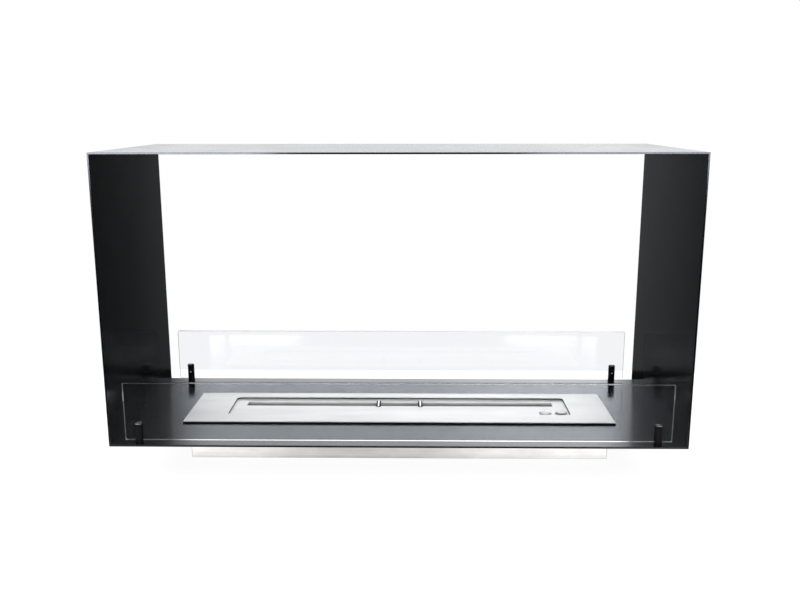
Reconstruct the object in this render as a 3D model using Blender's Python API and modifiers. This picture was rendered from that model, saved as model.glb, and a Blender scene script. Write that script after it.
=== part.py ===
"""See-through fireplace insert with a ribbon burner, as an assembly of separate pieces.

A black sheet-steel casing, open at the front and the rear, carries two low glass screens in slotted
posts and a stainless burner that drops into a cut-out of its floor.
Metres, +Z up, front towards -Y. The origin is the middle of the underside of the casing's floor.
"""

import math

import bmesh
import bpy

# General values
FIT_GAP = 0.0003  # between faces that touch on the real object
OVERRUN = 0.002  # how far a cutter runs past the face that it opens
ROUND_SIDES = 48
SMALL_SIDES = 24
HEX_SIDES = 6
CORNER_STEPS = 5
SHARP_ANGLE = math.radians(35)

# Casing
CASING_WIDTH = 1.000
CASING_HEIGHT = 0.503
CASING_DEPTH = 0.388
CASING_SHEET = 0.003
CASING_EDGE_BREAK = 0.0004

# Glass screens
GLASS_END_ROOM = 0.023  # from the pane's end to the casing's side
GLASS_HEIGHT = 0.103
GLASS_THICKNESS = 0.005
GLASS_EDGE_BREAK = 0.0006
GLASS_SETBACK = 0.013  # from the casing's open edge to the middle of the pane

# Posts that hold the glass
POST_INSET = 0.024  # from the pane's end to the post's middle
POST_RADIUS = 0.007
POST_HEIGHT = 0.035
POST_BASE = 0.005  # solid metal below the slot
POST_TOP_BREAK = 0.0007

# Countersunk screw under each post
POST_SCREW_RADIUS = 0.002
POST_SCREW_HEAD_RADIUS = 0.0038
POST_SCREW_HEAD_HEIGHT = 0.0018
POST_SCREW_REACH = 0.0036  # length inside the post
POST_SCREW_SOCKET_RADIUS = 0.0013
POST_SCREW_SOCKET_DEPTH = 0.0011

# Clamp screw that presses on the glass
CLAMP_SCREW_RADIUS = 0.002
CLAMP_SCREW_DROP = 0.016  # below the post's top
CLAMP_SCREW_PROUD = 0.0004
CLAMP_SCREW_SOCKET_RADIUS = 0.0011
CLAMP_SCREW_SOCKET_DEPTH = 0.0018

# Trim plate of the burner
TRIM_LENGTH = 0.800
TRIM_HEIGHT = 0.004
TRIM_SHEET = 0.0015
TRIM_CORNER = 0.0015

# Sunken well with the flame slot
WELL_END_MARGIN = 0.075  # from the well to the trim plate's end
WELL_REAR_MARGIN = 0.026
WELL_FRONT_MARGIN = 0.039
WELL_DEPTH = 0.005
WELL_CORNER = 0.008
WELL_SHEET = 0.0012
WELL_FLANGE = 0.012
SLOT_END_MARGIN = 0.025  # from the slot to the well's end
SLOT_WIDTH = 0.020
SLOT_REAR_MARGIN = 0.0165  # from the slot to the well's rear wall
SLOT_LIP = 0.003
SLOT_LIP_SHEET = 0.001

# Bridges over the slot
BRIDGE_LENGTH = 0.036
BRIDGE_WIDTH = 0.009
BRIDGE_RISE = 0.0025
BRIDGE_SPACING = 0.082

# Housing below the trim plate
TRIM_OVERHANG = 0.010  # of the trim plate past the housing
HOUSING_DROP = 0.070  # below the underside of the casing
HOUSING_SHEET = 0.0012
HOUSING_CLEARANCE = 0.003  # to the cut-out in the casing's floor
HOUSING_BEND = 0.002

# Brackets and screws that join the housing to the trim plate
LID_BRACKET_LENGTH = 0.100
LID_BRACKET_HEIGHT = 0.024
LID_BRACKET_FOOT = 0.016
LID_BRACKET_SHEET = 0.002
LID_SCREW_SPACING = 0.070
LID_SCREW_DROP = 0.014  # below the trim plate's sheet
LID_SCREW_RADIUS = 0.002
LID_SCREW_LENGTH = 0.008
LID_SCREW_HEAD_RADIUS = 0.0038
LID_SCREW_HEAD_HEIGHT = 0.0018
LID_SCREW_SOCKET_RADIUS = 0.0012
LID_SCREW_SOCKET_DEPTH = 0.001

# Flame trough and its ceramic wick
TROUGH_DEPTH = 0.030
TROUGH_SIDE_ROOM = 0.002
TROUGH_END_ROOM = 0.003
TROUGH_SHEET = 0.0012
TROUGH_FLANGE = 0.008
WICK_HEIGHT = 0.016
WICK_SIDE_ROOM = 0.001
WICK_EDGE_BREAK = 0.0015

# Fuel tank on the housing's floor
TANK_SIDE_ROOM = 0.0023
TANK_LEFT_ROOM = 0.003
TANK_RIGHT_ROOM = 0.0486  # for the power inlet
TANK_DROP = 0.0366  # from the well's underside to the tank's roof
TANK_SHEET = 0.001

# Panel barrels of the push button and the filler
CONTROL_SPACING = 0.0302
CONTROL_SIDE_MARGIN = 0.0153  # from the filler to the well's right wall
CONTROL_SLOT_ROOM = 0.041  # from the slot to the controls
CONTROL_FRONT_MARGIN = 0.0225  # from the controls to the well's front wall
BARREL_RADIUS = 0.0093
BEZEL_RADIUS = 0.0115
BEZEL_HEIGHT = 0.003
PANEL_NUT_RADIUS = 0.012
PANEL_NUT_HEIGHT = 0.003

# Push button
BUTTON_RADIUS = 0.0072
BUTTON_PROUD = 0.0006
BUTTON_HEIGHT = 0.010
BUTTON_BARREL = 0.024  # below the well's floor
BUTTON_BARREL_FLOOR = 0.002
BUTTON_RING_RADIUS = 0.0045
BUTTON_RING_WIDTH = 0.0008
BUTTON_RING_DEPTH = 0.0004
SPRING_RADIUS = 0.0048
SPRING_WIRE_RADIUS = 0.0004
SPRING_TURNS = 5
SPRING_TURN_POINTS = 12

# Filler with its cap
FILLER_BORE_RADIUS = 0.007
FILLER_FLANGE_HEIGHT = 0.0009
FILLER_TANK_REACH = 0.003  # below the tank's roof
CAP_RADIUS = 0.0105
CAP_HEIGHT = 0.002
CAP_PLUG_RADIUS = 0.0066
CAP_PLUG_LENGTH = 0.009
CAP_GROOVE_LENGTH = 0.013
CAP_GROOVE_WIDTH = 0.0016
CAP_GROOVE_DEPTH = 0.0008
CAP_GROOVE_TURN = math.radians(45)
SEAL_OUTER_RADIUS = 0.0098
SEAL_HEIGHT = 0.001

# Level sensor in the tank
LEVEL_END_ROOM = 0.1358  # from the tank's left end
LEVEL_FRONT_ROOM = 0.044  # from the tank's front
LEVEL_FLANGE_RADIUS = 0.013
LEVEL_FLANGE_HEIGHT = 0.003
LEVEL_STEM_RADIUS = 0.002
LEVEL_STOP_RADIUS = 0.004
LEVEL_STOP_HEIGHT = 0.0015
LEVEL_STOP_ROOM = 0.002  # above the tank's floor
FLOAT_RADIUS = 0.009
FLOAT_BORE_ROOM = 0.0005
FLOAT_HEIGHT = 0.011

# Igniter and flame sensor in front of the trough
IGNITER_X = -0.012
IGNITER_RADIUS = 0.0025
IGNITER_REACH = 0.006  # inside the trough
IGNITER_DROP = 0.009  # axis below the trough's top
IGNITER_BODY_RADIUS = 0.0055
IGNITER_BODY_LENGTH = 0.022
SENSOR_X = 0.012
SENSOR_RADIUS = 0.0016
SENSOR_REACH = 0.008
SENSOR_BODY_RADIUS = 0.004
SENSOR_BODY_LENGTH = 0.028
HOLDER_SIDE_ROOM = 0.008
HOLDER_HEIGHT = 0.016
HOLDER_SHEET = 0.0015

# Fuel pump on the tank
PUMP_UNIT_ROOM = 0.046  # from the pump's head to the control unit
PUMP_TROUGH_ROOM = 0.0448  # from the pump's middle to the trough
PUMP_HEAD_SIZE = 0.024
PUMP_HEAD_BREAK = 0.001
PUMP_MOTOR_RADIUS = 0.0115
PUMP_MOTOR_LENGTH = 0.044
PUMP_MOTOR_SHOULDER = 0.004
PUMP_MOTOR_NOSE_RADIUS = 0.005
TUBE_RADIUS = 0.002
TUBE_BORE_RADIUS = 0.0012
SUCTION_FLOOR_ROOM = 0.002
DELIVERY_REACH = 0.0005  # inside the trough

# Control unit on the tank
CONTROL_UNIT_END_ROOM = 0.0275  # to the button's nut
CONTROL_UNIT_FRONT_ROOM = 0.005  # to the tank's front
CONTROL_UNIT_LENGTH = 0.130
CONTROL_UNIT_WIDTH = 0.052
CONTROL_UNIT_HEIGHT = 0.025
CONTROL_UNIT_BREAK = 0.002

# Power inlet in the housing's right end
INLET_DROP = 0.038  # below the trim plate's sheet
INLET_RADIUS = 0.0055
INLET_FLANGE_RADIUS = 0.007
INLET_FLANGE_HEIGHT = 0.0016
INLET_LENGTH = 0.014
INLET_BORE_RADIUS = 0.003
INLET_BORE_DEPTH = 0.009
INLET_NUT_RADIUS = 0.008
INLET_NUT_HEIGHT = 0.0025

# Sizes that follow from the ones above
GLASS_LENGTH = CASING_WIDTH - 2 * CASING_SHEET - 2 * GLASS_END_ROOM
POST_SPACING = GLASS_LENGTH - 2 * POST_INSET
WELL_LENGTH = TRIM_LENGTH - 2 * WELL_END_MARGIN
WELL_WIDTH = SLOT_REAR_MARGIN + SLOT_WIDTH + CONTROL_SLOT_ROOM + CONTROL_FRONT_MARGIN
TRIM_WIDTH = WELL_REAR_MARGIN + WELL_WIDTH + WELL_FRONT_MARGIN
SLOT_LENGTH = WELL_LENGTH - 2 * SLOT_END_MARGIN
HOUSING_LENGTH = TRIM_LENGTH - 2 * TRIM_OVERHANG
HOUSING_WIDTH = TRIM_WIDTH - 2 * TRIM_OVERHANG

# Heights and places that several pieces share
FLOOR_TOP = CASING_SHEET
GLASS_LINE = CASING_DEPTH / 2 - GLASS_SETBACK
TRIM_BOTTOM = FLOOR_TOP + FIT_GAP
TRIM_TOP = TRIM_BOTTOM + TRIM_HEIGHT
TRIM_UNDERSIDE = TRIM_TOP - TRIM_SHEET
HOUSING_TOP = TRIM_UNDERSIDE - FIT_GAP
HOUSING_FLOOR = HOUSING_SHEET - HOUSING_DROP
WELL_FLOOR = TRIM_TOP - WELL_DEPTH
WELL_BOTTOM = WELL_FLOOR - WELL_SHEET
WELL_REAR = TRIM_WIDTH / 2 - WELL_REAR_MARGIN
WELL_FRONT = WELL_REAR - WELL_WIDTH
SLOT_LINE = WELL_REAR - SLOT_REAR_MARGIN - SLOT_WIDTH / 2
TROUGH_TOP = WELL_BOTTOM - FIT_GAP
TROUGH_HALF_WIDTH = SLOT_WIDTH / 2 + TROUGH_SIDE_ROOM
TROUGH_HALF_LENGTH = SLOT_LENGTH / 2 + TROUGH_END_ROOM
TROUGH_FRONT = SLOT_LINE - TROUGH_HALF_WIDTH - TROUGH_SHEET
TANK_BOTTOM = HOUSING_FLOOR + FIT_GAP
TANK_TOP = WELL_BOTTOM - TANK_DROP
TANK_LEFT = HOUSING_SHEET + TANK_LEFT_ROOM - HOUSING_LENGTH / 2
TANK_RIGHT = HOUSING_LENGTH / 2 - HOUSING_SHEET - TANK_RIGHT_ROOM
TANK_SIDE = HOUSING_WIDTH / 2 - HOUSING_SHEET - TANK_SIDE_ROOM
CONTROL_Y = SLOT_LINE - SLOT_WIDTH / 2 - CONTROL_SLOT_ROOM
FILLER_X = WELL_LENGTH / 2 - CONTROL_SIDE_MARGIN
BUTTON_X = FILLER_X - CONTROL_SPACING
HOUSING_END = HOUSING_LENGTH / 2
LEVEL_X = TANK_LEFT + LEVEL_END_ROOM
LEVEL_Y = LEVEL_FRONT_ROOM - TANK_SIDE
CONTROL_UNIT_X = BUTTON_X - PANEL_NUT_RADIUS - CONTROL_UNIT_END_ROOM - CONTROL_UNIT_LENGTH / 2
CONTROL_UNIT_Y = CONTROL_UNIT_FRONT_ROOM + CONTROL_UNIT_WIDTH / 2 - TANK_SIDE
PUMP_X = CONTROL_UNIT_X - CONTROL_UNIT_LENGTH / 2 - PUMP_UNIT_ROOM - PUMP_HEAD_SIZE / 2
PUMP_Y = TROUGH_FRONT - PUMP_TROUGH_ROOM

# Colours, roughness and metallic share of the finishes
BLACK_STEEL = ((0.018, 0.018, 0.019), 0.42, 0.0)
BRUSHED_STEEL = ((0.62, 0.62, 0.60), 0.28, 1.0)
POLISHED_STEEL = ((0.72, 0.72, 0.71), 0.14, 1.0)
CLEAR_GLASS = ((0.90, 0.95, 0.93), 0.02, 0.0)
PALE_CERAMIC = ((0.78, 0.75, 0.69), 0.9, 0.0)
BLACK_PLASTIC = ((0.02, 0.02, 0.022), 0.5, 0.0)
BLACK_RUBBER = ((0.015, 0.015, 0.015), 0.8, 0.0)
WHITE_PLASTIC = ((0.75, 0.75, 0.73), 0.45, 0.0)

# Turns that lay a piece made along +Z along another axis
ALONG = {
    "+Z": (0, 0, 0),
    "-Z": (math.pi, 0, 0),
    "+X": (0, math.pi / 2, 0),
    "-X": (0, -math.pi / 2, 0),
    "+Y": (-math.pi / 2, 0, 0),
    "-Y": (math.pi / 2, 0, 0),
}


def clear_scene():
    """Remove every object that the file opened with."""
    for old in list(bpy.data.objects):
        bpy.data.objects.remove(old, do_unlink=True)


def group(name):
    """A collection of the scene, made once."""
    found = bpy.data.collections.get(name)
    if found is None:
        found = bpy.data.collections.new(name)
        bpy.context.scene.collection.children.link(found)
    return found


def paint(obj, finish):
    """Give the piece a Principled material of its own."""
    colour, roughness, metallic = finish
    made = bpy.data.materials.new(obj.name)
    made.use_nodes = True
    shader = made.node_tree.nodes["Principled BSDF"]
    shader.inputs["Base Color"].default_value = (*colour, 1)
    shader.inputs["Roughness"].default_value = roughness
    shader.inputs["Metallic"].default_value = metallic
    obj.data.materials.append(made)


def place(name, mesh, location, finish, along="+Z"):
    """Link a mesh as a painted piece, or as a hidden cutter when it has no finish."""
    obj = bpy.data.objects.new(name, mesh)
    obj.location = location
    obj.rotation_euler = ALONG[along]
    if finish is None:
        group("cutters").objects.link(obj)
        obj.hide_render = True
        obj.display_type = "WIRE"
    else:
        group("fireplace").objects.link(obj)
        paint(obj, finish)
    return obj


def upright(edge, size):
    """Whether an edge of a box runs along Z."""
    return abs(edge.verts[0].co.z - edge.verts[1].co.z) > size[2] / 2


def low_and_long(edge, size):
    """Whether an edge of a box runs along X at the box's bottom."""
    first, second = (vertex.co for vertex in edge.verts)
    return abs(first.x - second.x) > size[0] / 2 and first.z < 0


def block(name, x_span, y_span, z_span, finish=None, corner=0, rounded=upright):
    """A box between two values on each axis, with the chosen edges rounded by the corner radius."""
    shape = bmesh.new()
    bmesh.ops.create_cube(shape, size=1)
    size = [high - low for low, high in (x_span, y_span, z_span)]
    middle = [(low + high) / 2 for low, high in (x_span, y_span, z_span)]
    bmesh.ops.scale(shape, vec=size, verts=shape.verts)
    if corner:
        edges = [edge for edge in shape.edges if rounded(edge, size)]
        bmesh.ops.bevel(shape, geom=edges, offset=corner, segments=CORNER_STEPS, profile=0.5, affect="EDGES")
    mesh = bpy.data.meshes.new(name)
    shape.to_mesh(mesh)
    shape.free()
    return place(name, mesh, middle, finish)


def rod(name, radius, length, middle, finish=None, along="+Z", sides=ROUND_SIDES, end_radius=None):
    """A cylinder, or a cone towards its far end, centred on a point."""
    shape = bmesh.new()
    bmesh.ops.create_cone(
        shape,
        cap_ends=True,
        segments=sides,
        radius1=radius,
        radius2=radius if end_radius is None else end_radius,
        depth=length,
    )
    mesh = bpy.data.meshes.new(name)
    shape.to_mesh(mesh)
    shape.free()
    mesh.shade_smooth()
    mesh.set_sharp_from_angle(angle=SHARP_ANGLE)
    return place(name, mesh, middle, finish, along)


def turned(name, profile, base, finish, along="+Z", closed=False, sides=ROUND_SIDES):
    """A turned piece: its profile of radius and height, down the outer side, spun about its axis."""
    shape = bmesh.new()
    points = [shape.verts.new((radius, 0, height)) for radius, height in profile]
    for first, second in zip(points, points[1:]):
        shape.edges.new((first, second))
    if closed:
        shape.edges.new((points[-1], points[0]))
    mesh = bpy.data.meshes.new(name)
    shape.to_mesh(mesh)
    shape.free()
    obj = place(name, mesh, base, finish, along)
    spin = obj.modifiers.new("spin", "SCREW")
    spin.axis = "Z"
    spin.steps = sides
    spin.render_steps = sides
    spin.use_merge_vertices = True
    spin.merge_threshold = FIT_GAP / 10
    return obj


def cut(obj, *tools):
    """Take the tools' volumes out of the piece."""
    for tool in tools:
        step = obj.modifiers.new(tool.name, "BOOLEAN")
        step.operation = "DIFFERENCE"
        step.solver = "EXACT"
        step.object = tool


def add(obj, *tools):
    """Join the tools' volumes to the piece."""
    for tool in tools:
        step = obj.modifiers.new(tool.name, "BOOLEAN")
        step.operation = "UNION"
        step.solver = "EXACT"
        step.object = tool


def break_edges(obj, width, steps=1):
    """A small bevel on every sharp edge."""
    step = obj.modifiers.new("edge break", "BEVEL")
    step.width = width
    step.segments = steps
    step.limit_method = "ANGLE"


def around(middle, half):
    """The span of a half size on both sides of a middle."""
    return (middle - half, middle + half)


def post_corners():
    """Name, place and inward direction of each glass post."""
    for side, x_sign in (("left", -1), ("right", 1)):
        for end, y_sign in (("front", -1), ("rear", 1)):
            yield f"{end}_{side}", x_sign * POST_SPACING / 2, y_sign * GLASS_LINE, -y_sign


def burner_cutout():
    """The opening in the casing's floor that the burner housing drops into."""
    half_length = HOUSING_LENGTH / 2 + HOUSING_CLEARANCE
    half_width = HOUSING_WIDTH / 2 + HOUSING_CLEARANCE
    return block(
        "burner_cutout", around(0, half_length), around(0, half_width), (-OVERRUN, CASING_SHEET + OVERRUN)
    )


def post_screw_hole(name, x, y):
    """Countersunk hole for a post's screw, wider than the screw by the fit gap."""
    slope = (POST_SCREW_HEAD_RADIUS - POST_SCREW_RADIUS) / POST_SCREW_HEAD_HEIGHT
    bottom_radius = POST_SCREW_HEAD_RADIUS + FIT_GAP + slope * OVERRUN
    shank = rod(
        f"{name}_shank_hole",
        POST_SCREW_RADIUS + FIT_GAP,
        CASING_SHEET + 2 * OVERRUN,
        (x, y, CASING_SHEET / 2),
        sides=SMALL_SIDES,
    )
    sink = rod(
        f"{name}_countersink",
        bottom_radius,
        POST_SCREW_HEAD_HEIGHT + OVERRUN,
        (x, y, FIT_GAP + (POST_SCREW_HEAD_HEIGHT - OVERRUN) / 2),
        sides=SMALL_SIDES,
        end_radius=POST_SCREW_RADIUS + FIT_GAP,
    )
    return shank, sink


def floor_panel():
    """The casing's floor with the burner's cut-out and the holes for the posts' screws."""
    panel = block(
        "floor_panel",
        around(0, CASING_WIDTH / 2),
        around(0, CASING_DEPTH / 2),
        (0, CASING_SHEET),
        BLACK_STEEL,
    )
    break_edges(panel, CASING_EDGE_BREAK)
    cut(panel, burner_cutout())
    for corner, x, y, _ in post_corners():
        cut(panel, *post_screw_hole(corner, x, y))


def side_panel(name, sign):
    """One upright side of the casing, between the floor and the top."""
    outer = sign * CASING_WIDTH / 2
    inner = outer - sign * CASING_SHEET
    height = (CASING_SHEET + FIT_GAP, CASING_HEIGHT - CASING_SHEET - FIT_GAP)
    panel = block(
        name, (min(inner, outer), max(inner, outer)), around(0, CASING_DEPTH / 2), height, BLACK_STEEL
    )
    break_edges(panel, CASING_EDGE_BREAK)


def top_panel():
    """The casing's flat top."""
    panel = block(
        "top_panel",
        around(0, CASING_WIDTH / 2),
        around(0, CASING_DEPTH / 2),
        (CASING_HEIGHT - CASING_SHEET, CASING_HEIGHT),
        BLACK_STEEL,
    )
    break_edges(panel, CASING_EDGE_BREAK)


def glass_screen(name, y):
    """A clear pane that stands in the slots of two posts."""
    bottom = FLOOR_TOP + FIT_GAP + POST_BASE + FIT_GAP
    pane = block(
        name,
        around(0, GLASS_LENGTH / 2),
        around(y, GLASS_THICKNESS / 2),
        (bottom, bottom + GLASS_HEIGHT),
        CLEAR_GLASS,
    )
    break_edges(pane, GLASS_EDGE_BREAK)


def glass_post(corner, x, y, inward):
    """A round post with a slot for the pane, a hole for the clamp screw and one for its own screw."""
    foot = FLOOR_TOP + FIT_GAP
    profile = (
        (0, POST_HEIGHT),
        (POST_RADIUS - POST_TOP_BREAK, POST_HEIGHT),
        (POST_RADIUS, POST_HEIGHT - POST_TOP_BREAK),
        (POST_RADIUS, 0),
        (0, 0),
    )
    post = turned(f"glass_post_{corner}", profile, (x, y, foot), BLACK_STEEL)
    slot_top = foot + POST_HEIGHT + OVERRUN
    slot = block(
        f"{corner}_slot",
        around(x, POST_RADIUS + OVERRUN),
        around(y, GLASS_THICKNESS / 2 + FIT_GAP),
        (foot + POST_BASE, slot_top),
    )
    screw_hole = rod(
        f"{corner}_thread",
        POST_SCREW_RADIUS + FIT_GAP,
        POST_SCREW_REACH + FIT_GAP + OVERRUN,
        (x, y, foot + (POST_SCREW_REACH + FIT_GAP - OVERRUN) / 2),
        sides=SMALL_SIDES,
    )
    clamp_hole = rod(
        f"{corner}_clamp_hole",
        CLAMP_SCREW_RADIUS + FIT_GAP,
        POST_RADIUS + OVERRUN,
        (x, y + inward * (POST_RADIUS + OVERRUN) / 2, foot + POST_HEIGHT - CLAMP_SCREW_DROP),
        along="+Y",
        sides=SMALL_SIDES,
    )
    cut(post, slot, screw_hole, clamp_hole)


def post_screw(corner, x, y):
    """Countersunk screw that holds a post from below."""
    head_base = FIT_GAP
    tip = FLOOR_TOP + FIT_GAP + POST_SCREW_REACH
    profile = (
        (0, tip - head_base),
        (POST_SCREW_RADIUS, tip - head_base),
        (POST_SCREW_RADIUS, POST_SCREW_HEAD_HEIGHT),
        (POST_SCREW_HEAD_RADIUS, 0),
        (0, 0),
    )
    screw = turned(
        f"post_screw_{corner}", profile, (x, y, head_base), BLACK_STEEL, sides=SMALL_SIDES
    )
    socket = rod(
        f"{corner}_socket",
        POST_SCREW_SOCKET_RADIUS,
        POST_SCREW_SOCKET_DEPTH + OVERRUN,
        (x, y, head_base + (POST_SCREW_SOCKET_DEPTH - OVERRUN) / 2),
        sides=HEX_SIDES,
    )
    cut(screw, socket)


def clamp_screw(corner, x, y, inward):
    """Grub screw in a post's inner wall, with its tip at the glass."""
    height = FLOOR_TOP + FIT_GAP + POST_HEIGHT - CLAMP_SCREW_DROP
    tip = GLASS_THICKNESS / 2 + FIT_GAP
    end = POST_RADIUS + CLAMP_SCREW_PROUD
    middle = y + inward * (tip + end) / 2
    screw = rod(
        f"clamp_screw_{corner}",
        CLAMP_SCREW_RADIUS,
        end - tip,
        (x, middle, height),
        POLISHED_STEEL,
        "+Y",
        SMALL_SIDES,
    )
    socket = rod(
        f"{corner}_clamp_socket",
        CLAMP_SCREW_SOCKET_RADIUS,
        CLAMP_SCREW_SOCKET_DEPTH + OVERRUN,
        (x, y + inward * (end + (OVERRUN - CLAMP_SCREW_SOCKET_DEPTH) / 2), height),
        along="+Y",
        sides=HEX_SIDES,
    )
    cut(screw, socket)


def burner_trim_plate():
    """The burner's top plate with a turned-down rim and the opening over the well."""
    plate = block(
        "burner_trim_plate",
        around(0, TRIM_LENGTH / 2),
        around(0, TRIM_WIDTH / 2),
        (TRIM_BOTTOM, TRIM_TOP),
        BRUSHED_STEEL,
        TRIM_CORNER,
    )
    hollow = block(
        "trim_hollow",
        around(0, TRIM_LENGTH / 2 - TRIM_SHEET),
        around(0, TRIM_WIDTH / 2 - TRIM_SHEET),
        (TRIM_BOTTOM - OVERRUN, TRIM_UNDERSIDE),
    )
    opening = block(
        "trim_opening",
        around(0, WELL_LENGTH / 2),
        (WELL_FRONT, WELL_REAR),
        (TRIM_BOTTOM - OVERRUN, TRIM_TOP + OVERRUN),
        corner=WELL_CORNER,
    )
    cut(plate, hollow, opening)


def well_frame():
    """The well's upright wall, with the flange that is welded under the trim plate."""
    flange_top = TRIM_UNDERSIDE - FIT_GAP
    reach = WELL_SHEET + WELL_FLANGE
    frame = block(
        "well_frame",
        around(0, WELL_LENGTH / 2 + reach),
        (WELL_FRONT - reach, WELL_REAR + reach),
        (flange_top - WELL_SHEET, flange_top),
        BRUSHED_STEEL,
    )
    wall = block(
        "well_wall",
        around(0, WELL_LENGTH / 2 + WELL_SHEET),
        (WELL_FRONT - WELL_SHEET, WELL_REAR + WELL_SHEET),
        (WELL_FLOOR + FIT_GAP, flange_top - WELL_SHEET / 2),
        corner=WELL_CORNER + WELL_SHEET,
    )
    hollow = block(
        "well_hollow",
        around(0, WELL_LENGTH / 2),
        (WELL_FRONT, WELL_REAR),
        (WELL_FLOOR - OVERRUN, flange_top + OVERRUN),
        corner=WELL_CORNER,
    )
    add(frame, wall)
    cut(frame, hollow)


def burner_well():
    """The well's floor, with the lipped flame slot and two control holes."""
    well = block(
        "burner_well",
        around(0, WELL_LENGTH / 2 + WELL_SHEET),
        (WELL_FRONT - WELL_SHEET, WELL_REAR + WELL_SHEET),
        (WELL_BOTTOM, WELL_FLOOR),
        BRUSHED_STEEL,
        WELL_CORNER + WELL_SHEET,
    )
    lip = block(
        "slot_lip",
        around(0, SLOT_LENGTH / 2 + SLOT_LIP_SHEET),
        around(SLOT_LINE, SLOT_WIDTH / 2 + SLOT_LIP_SHEET),
        (WELL_BOTTOM - SLOT_LIP, WELL_BOTTOM + WELL_SHEET / 2),
    )
    slot = block(
        "flame_slot",
        around(0, SLOT_LENGTH / 2),
        around(SLOT_LINE, SLOT_WIDTH / 2),
        (WELL_BOTTOM - SLOT_LIP - OVERRUN, WELL_FLOOR + OVERRUN),
    )
    add(well, lip)
    cut(well, slot)
    for name, x in (("button", BUTTON_X), ("filler", FILLER_X)):
        hole = rod(
            f"{name}_hole",
            BARREL_RADIUS + FIT_GAP,
            WELL_SHEET + 2 * OVERRUN,
            (x, CONTROL_Y, WELL_FLOOR - WELL_SHEET / 2),
        )
        cut(well, hole)


def slot_bridge(name, x):
    """A low rounded bar that crosses the flame slot."""
    half = BRIDGE_WIDTH / 2
    radius = (half * half + BRIDGE_RISE * BRIDGE_RISE) / (2 * BRIDGE_RISE)
    base = WELL_FLOOR + FIT_GAP
    bridge = rod(
        name,
        radius,
        BRIDGE_LENGTH,
        (x, SLOT_LINE, base + BRIDGE_RISE - radius),
        POLISHED_STEEL,
        "+Y",
    )
    below = block(
        f"{name}_below",
        around(x, radius + OVERRUN),
        around(SLOT_LINE, BRIDGE_LENGTH / 2 + OVERRUN),
        (base - 2 * radius - OVERRUN, base),
    )
    cut(bridge, below)


def housing_channel():
    """The housing's front, floor and rear, folded from one sheet."""
    channel = block(
        "housing_channel",
        around(0, HOUSING_LENGTH / 2),
        around(0, HOUSING_WIDTH / 2),
        (-HOUSING_DROP, HOUSING_TOP),
        BRUSHED_STEEL,
        HOUSING_BEND,
        low_and_long,
    )
    hollow = block(
        "housing_hollow",
        around(0, HOUSING_LENGTH / 2 + OVERRUN),
        around(0, HOUSING_WIDTH / 2 - HOUSING_SHEET),
        (HOUSING_FLOOR, HOUSING_TOP + OVERRUN),
    )
    cut(channel, hollow)


def housing_end(side, sign):
    """An end plate of the housing, with its screw holes and, at the right, the inlet's hole."""
    low, high = sorted((sign * (HOUSING_END - HOUSING_SHEET), sign * HOUSING_END))
    plate = block(
        f"housing_end_{side}",
        (low, high),
        around(0, HOUSING_WIDTH / 2 - HOUSING_SHEET - FIT_GAP),
        (HOUSING_FLOOR + FIT_GAP, HOUSING_TOP),
        BRUSHED_STEEL,
    )
    middle = sign * (HOUSING_END - HOUSING_SHEET / 2)
    holes = [
        ("front", LID_SCREW_RADIUS, -LID_SCREW_SPACING / 2, LID_SCREW_DROP),
        ("rear", LID_SCREW_RADIUS, LID_SCREW_SPACING / 2, LID_SCREW_DROP),
    ]
    if sign > 0:
        holes.append(("inlet", INLET_RADIUS, 0, INLET_DROP))
    for name, radius, y, drop in holes:
        hole = rod(
            f"{side}_{name}_end_hole",
            radius + FIT_GAP,
            HOUSING_SHEET + 2 * OVERRUN,
            (middle, y, TRIM_UNDERSIDE - drop),
            along="+X",
        )
        cut(plate, hole)


def lid_bracket(side, sign):
    """An angle under the trim plate's end that the housing is screwed to."""
    outer = HOUSING_END - HOUSING_SHEET - FIT_GAP
    top = TRIM_UNDERSIDE - FIT_GAP
    spans = [
        (sign * (outer - LID_BRACKET_FOOT), sign * outer),
        (sign * (outer - LID_BRACKET_FOOT - OVERRUN), sign * (outer - LID_BRACKET_SHEET)),
    ]
    (low, high), (cut_low, cut_high) = [sorted(span) for span in spans]
    bracket = block(
        f"lid_bracket_{side}",
        (low, high),
        around(0, LID_BRACKET_LENGTH / 2),
        (top - LID_BRACKET_HEIGHT, top),
        BRUSHED_STEEL,
    )
    inside = block(
        f"{side}_bracket_inside",
        (cut_low, cut_high),
        around(0, LID_BRACKET_LENGTH / 2 + OVERRUN),
        (top - LID_BRACKET_HEIGHT - OVERRUN, top - LID_BRACKET_SHEET),
    )
    cut(bracket, inside)
    for end, y in (("front", -LID_SCREW_SPACING / 2), ("rear", LID_SCREW_SPACING / 2)):
        hole = rod(
            f"{side}_{end}_bracket_hole",
            LID_SCREW_RADIUS + FIT_GAP,
            LID_BRACKET_SHEET + 2 * OVERRUN,
            (sign * (outer - LID_BRACKET_SHEET / 2), y, TRIM_UNDERSIDE - LID_SCREW_DROP),
            along="+X",
            sides=SMALL_SIDES,
        )
        cut(bracket, hole)


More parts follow.
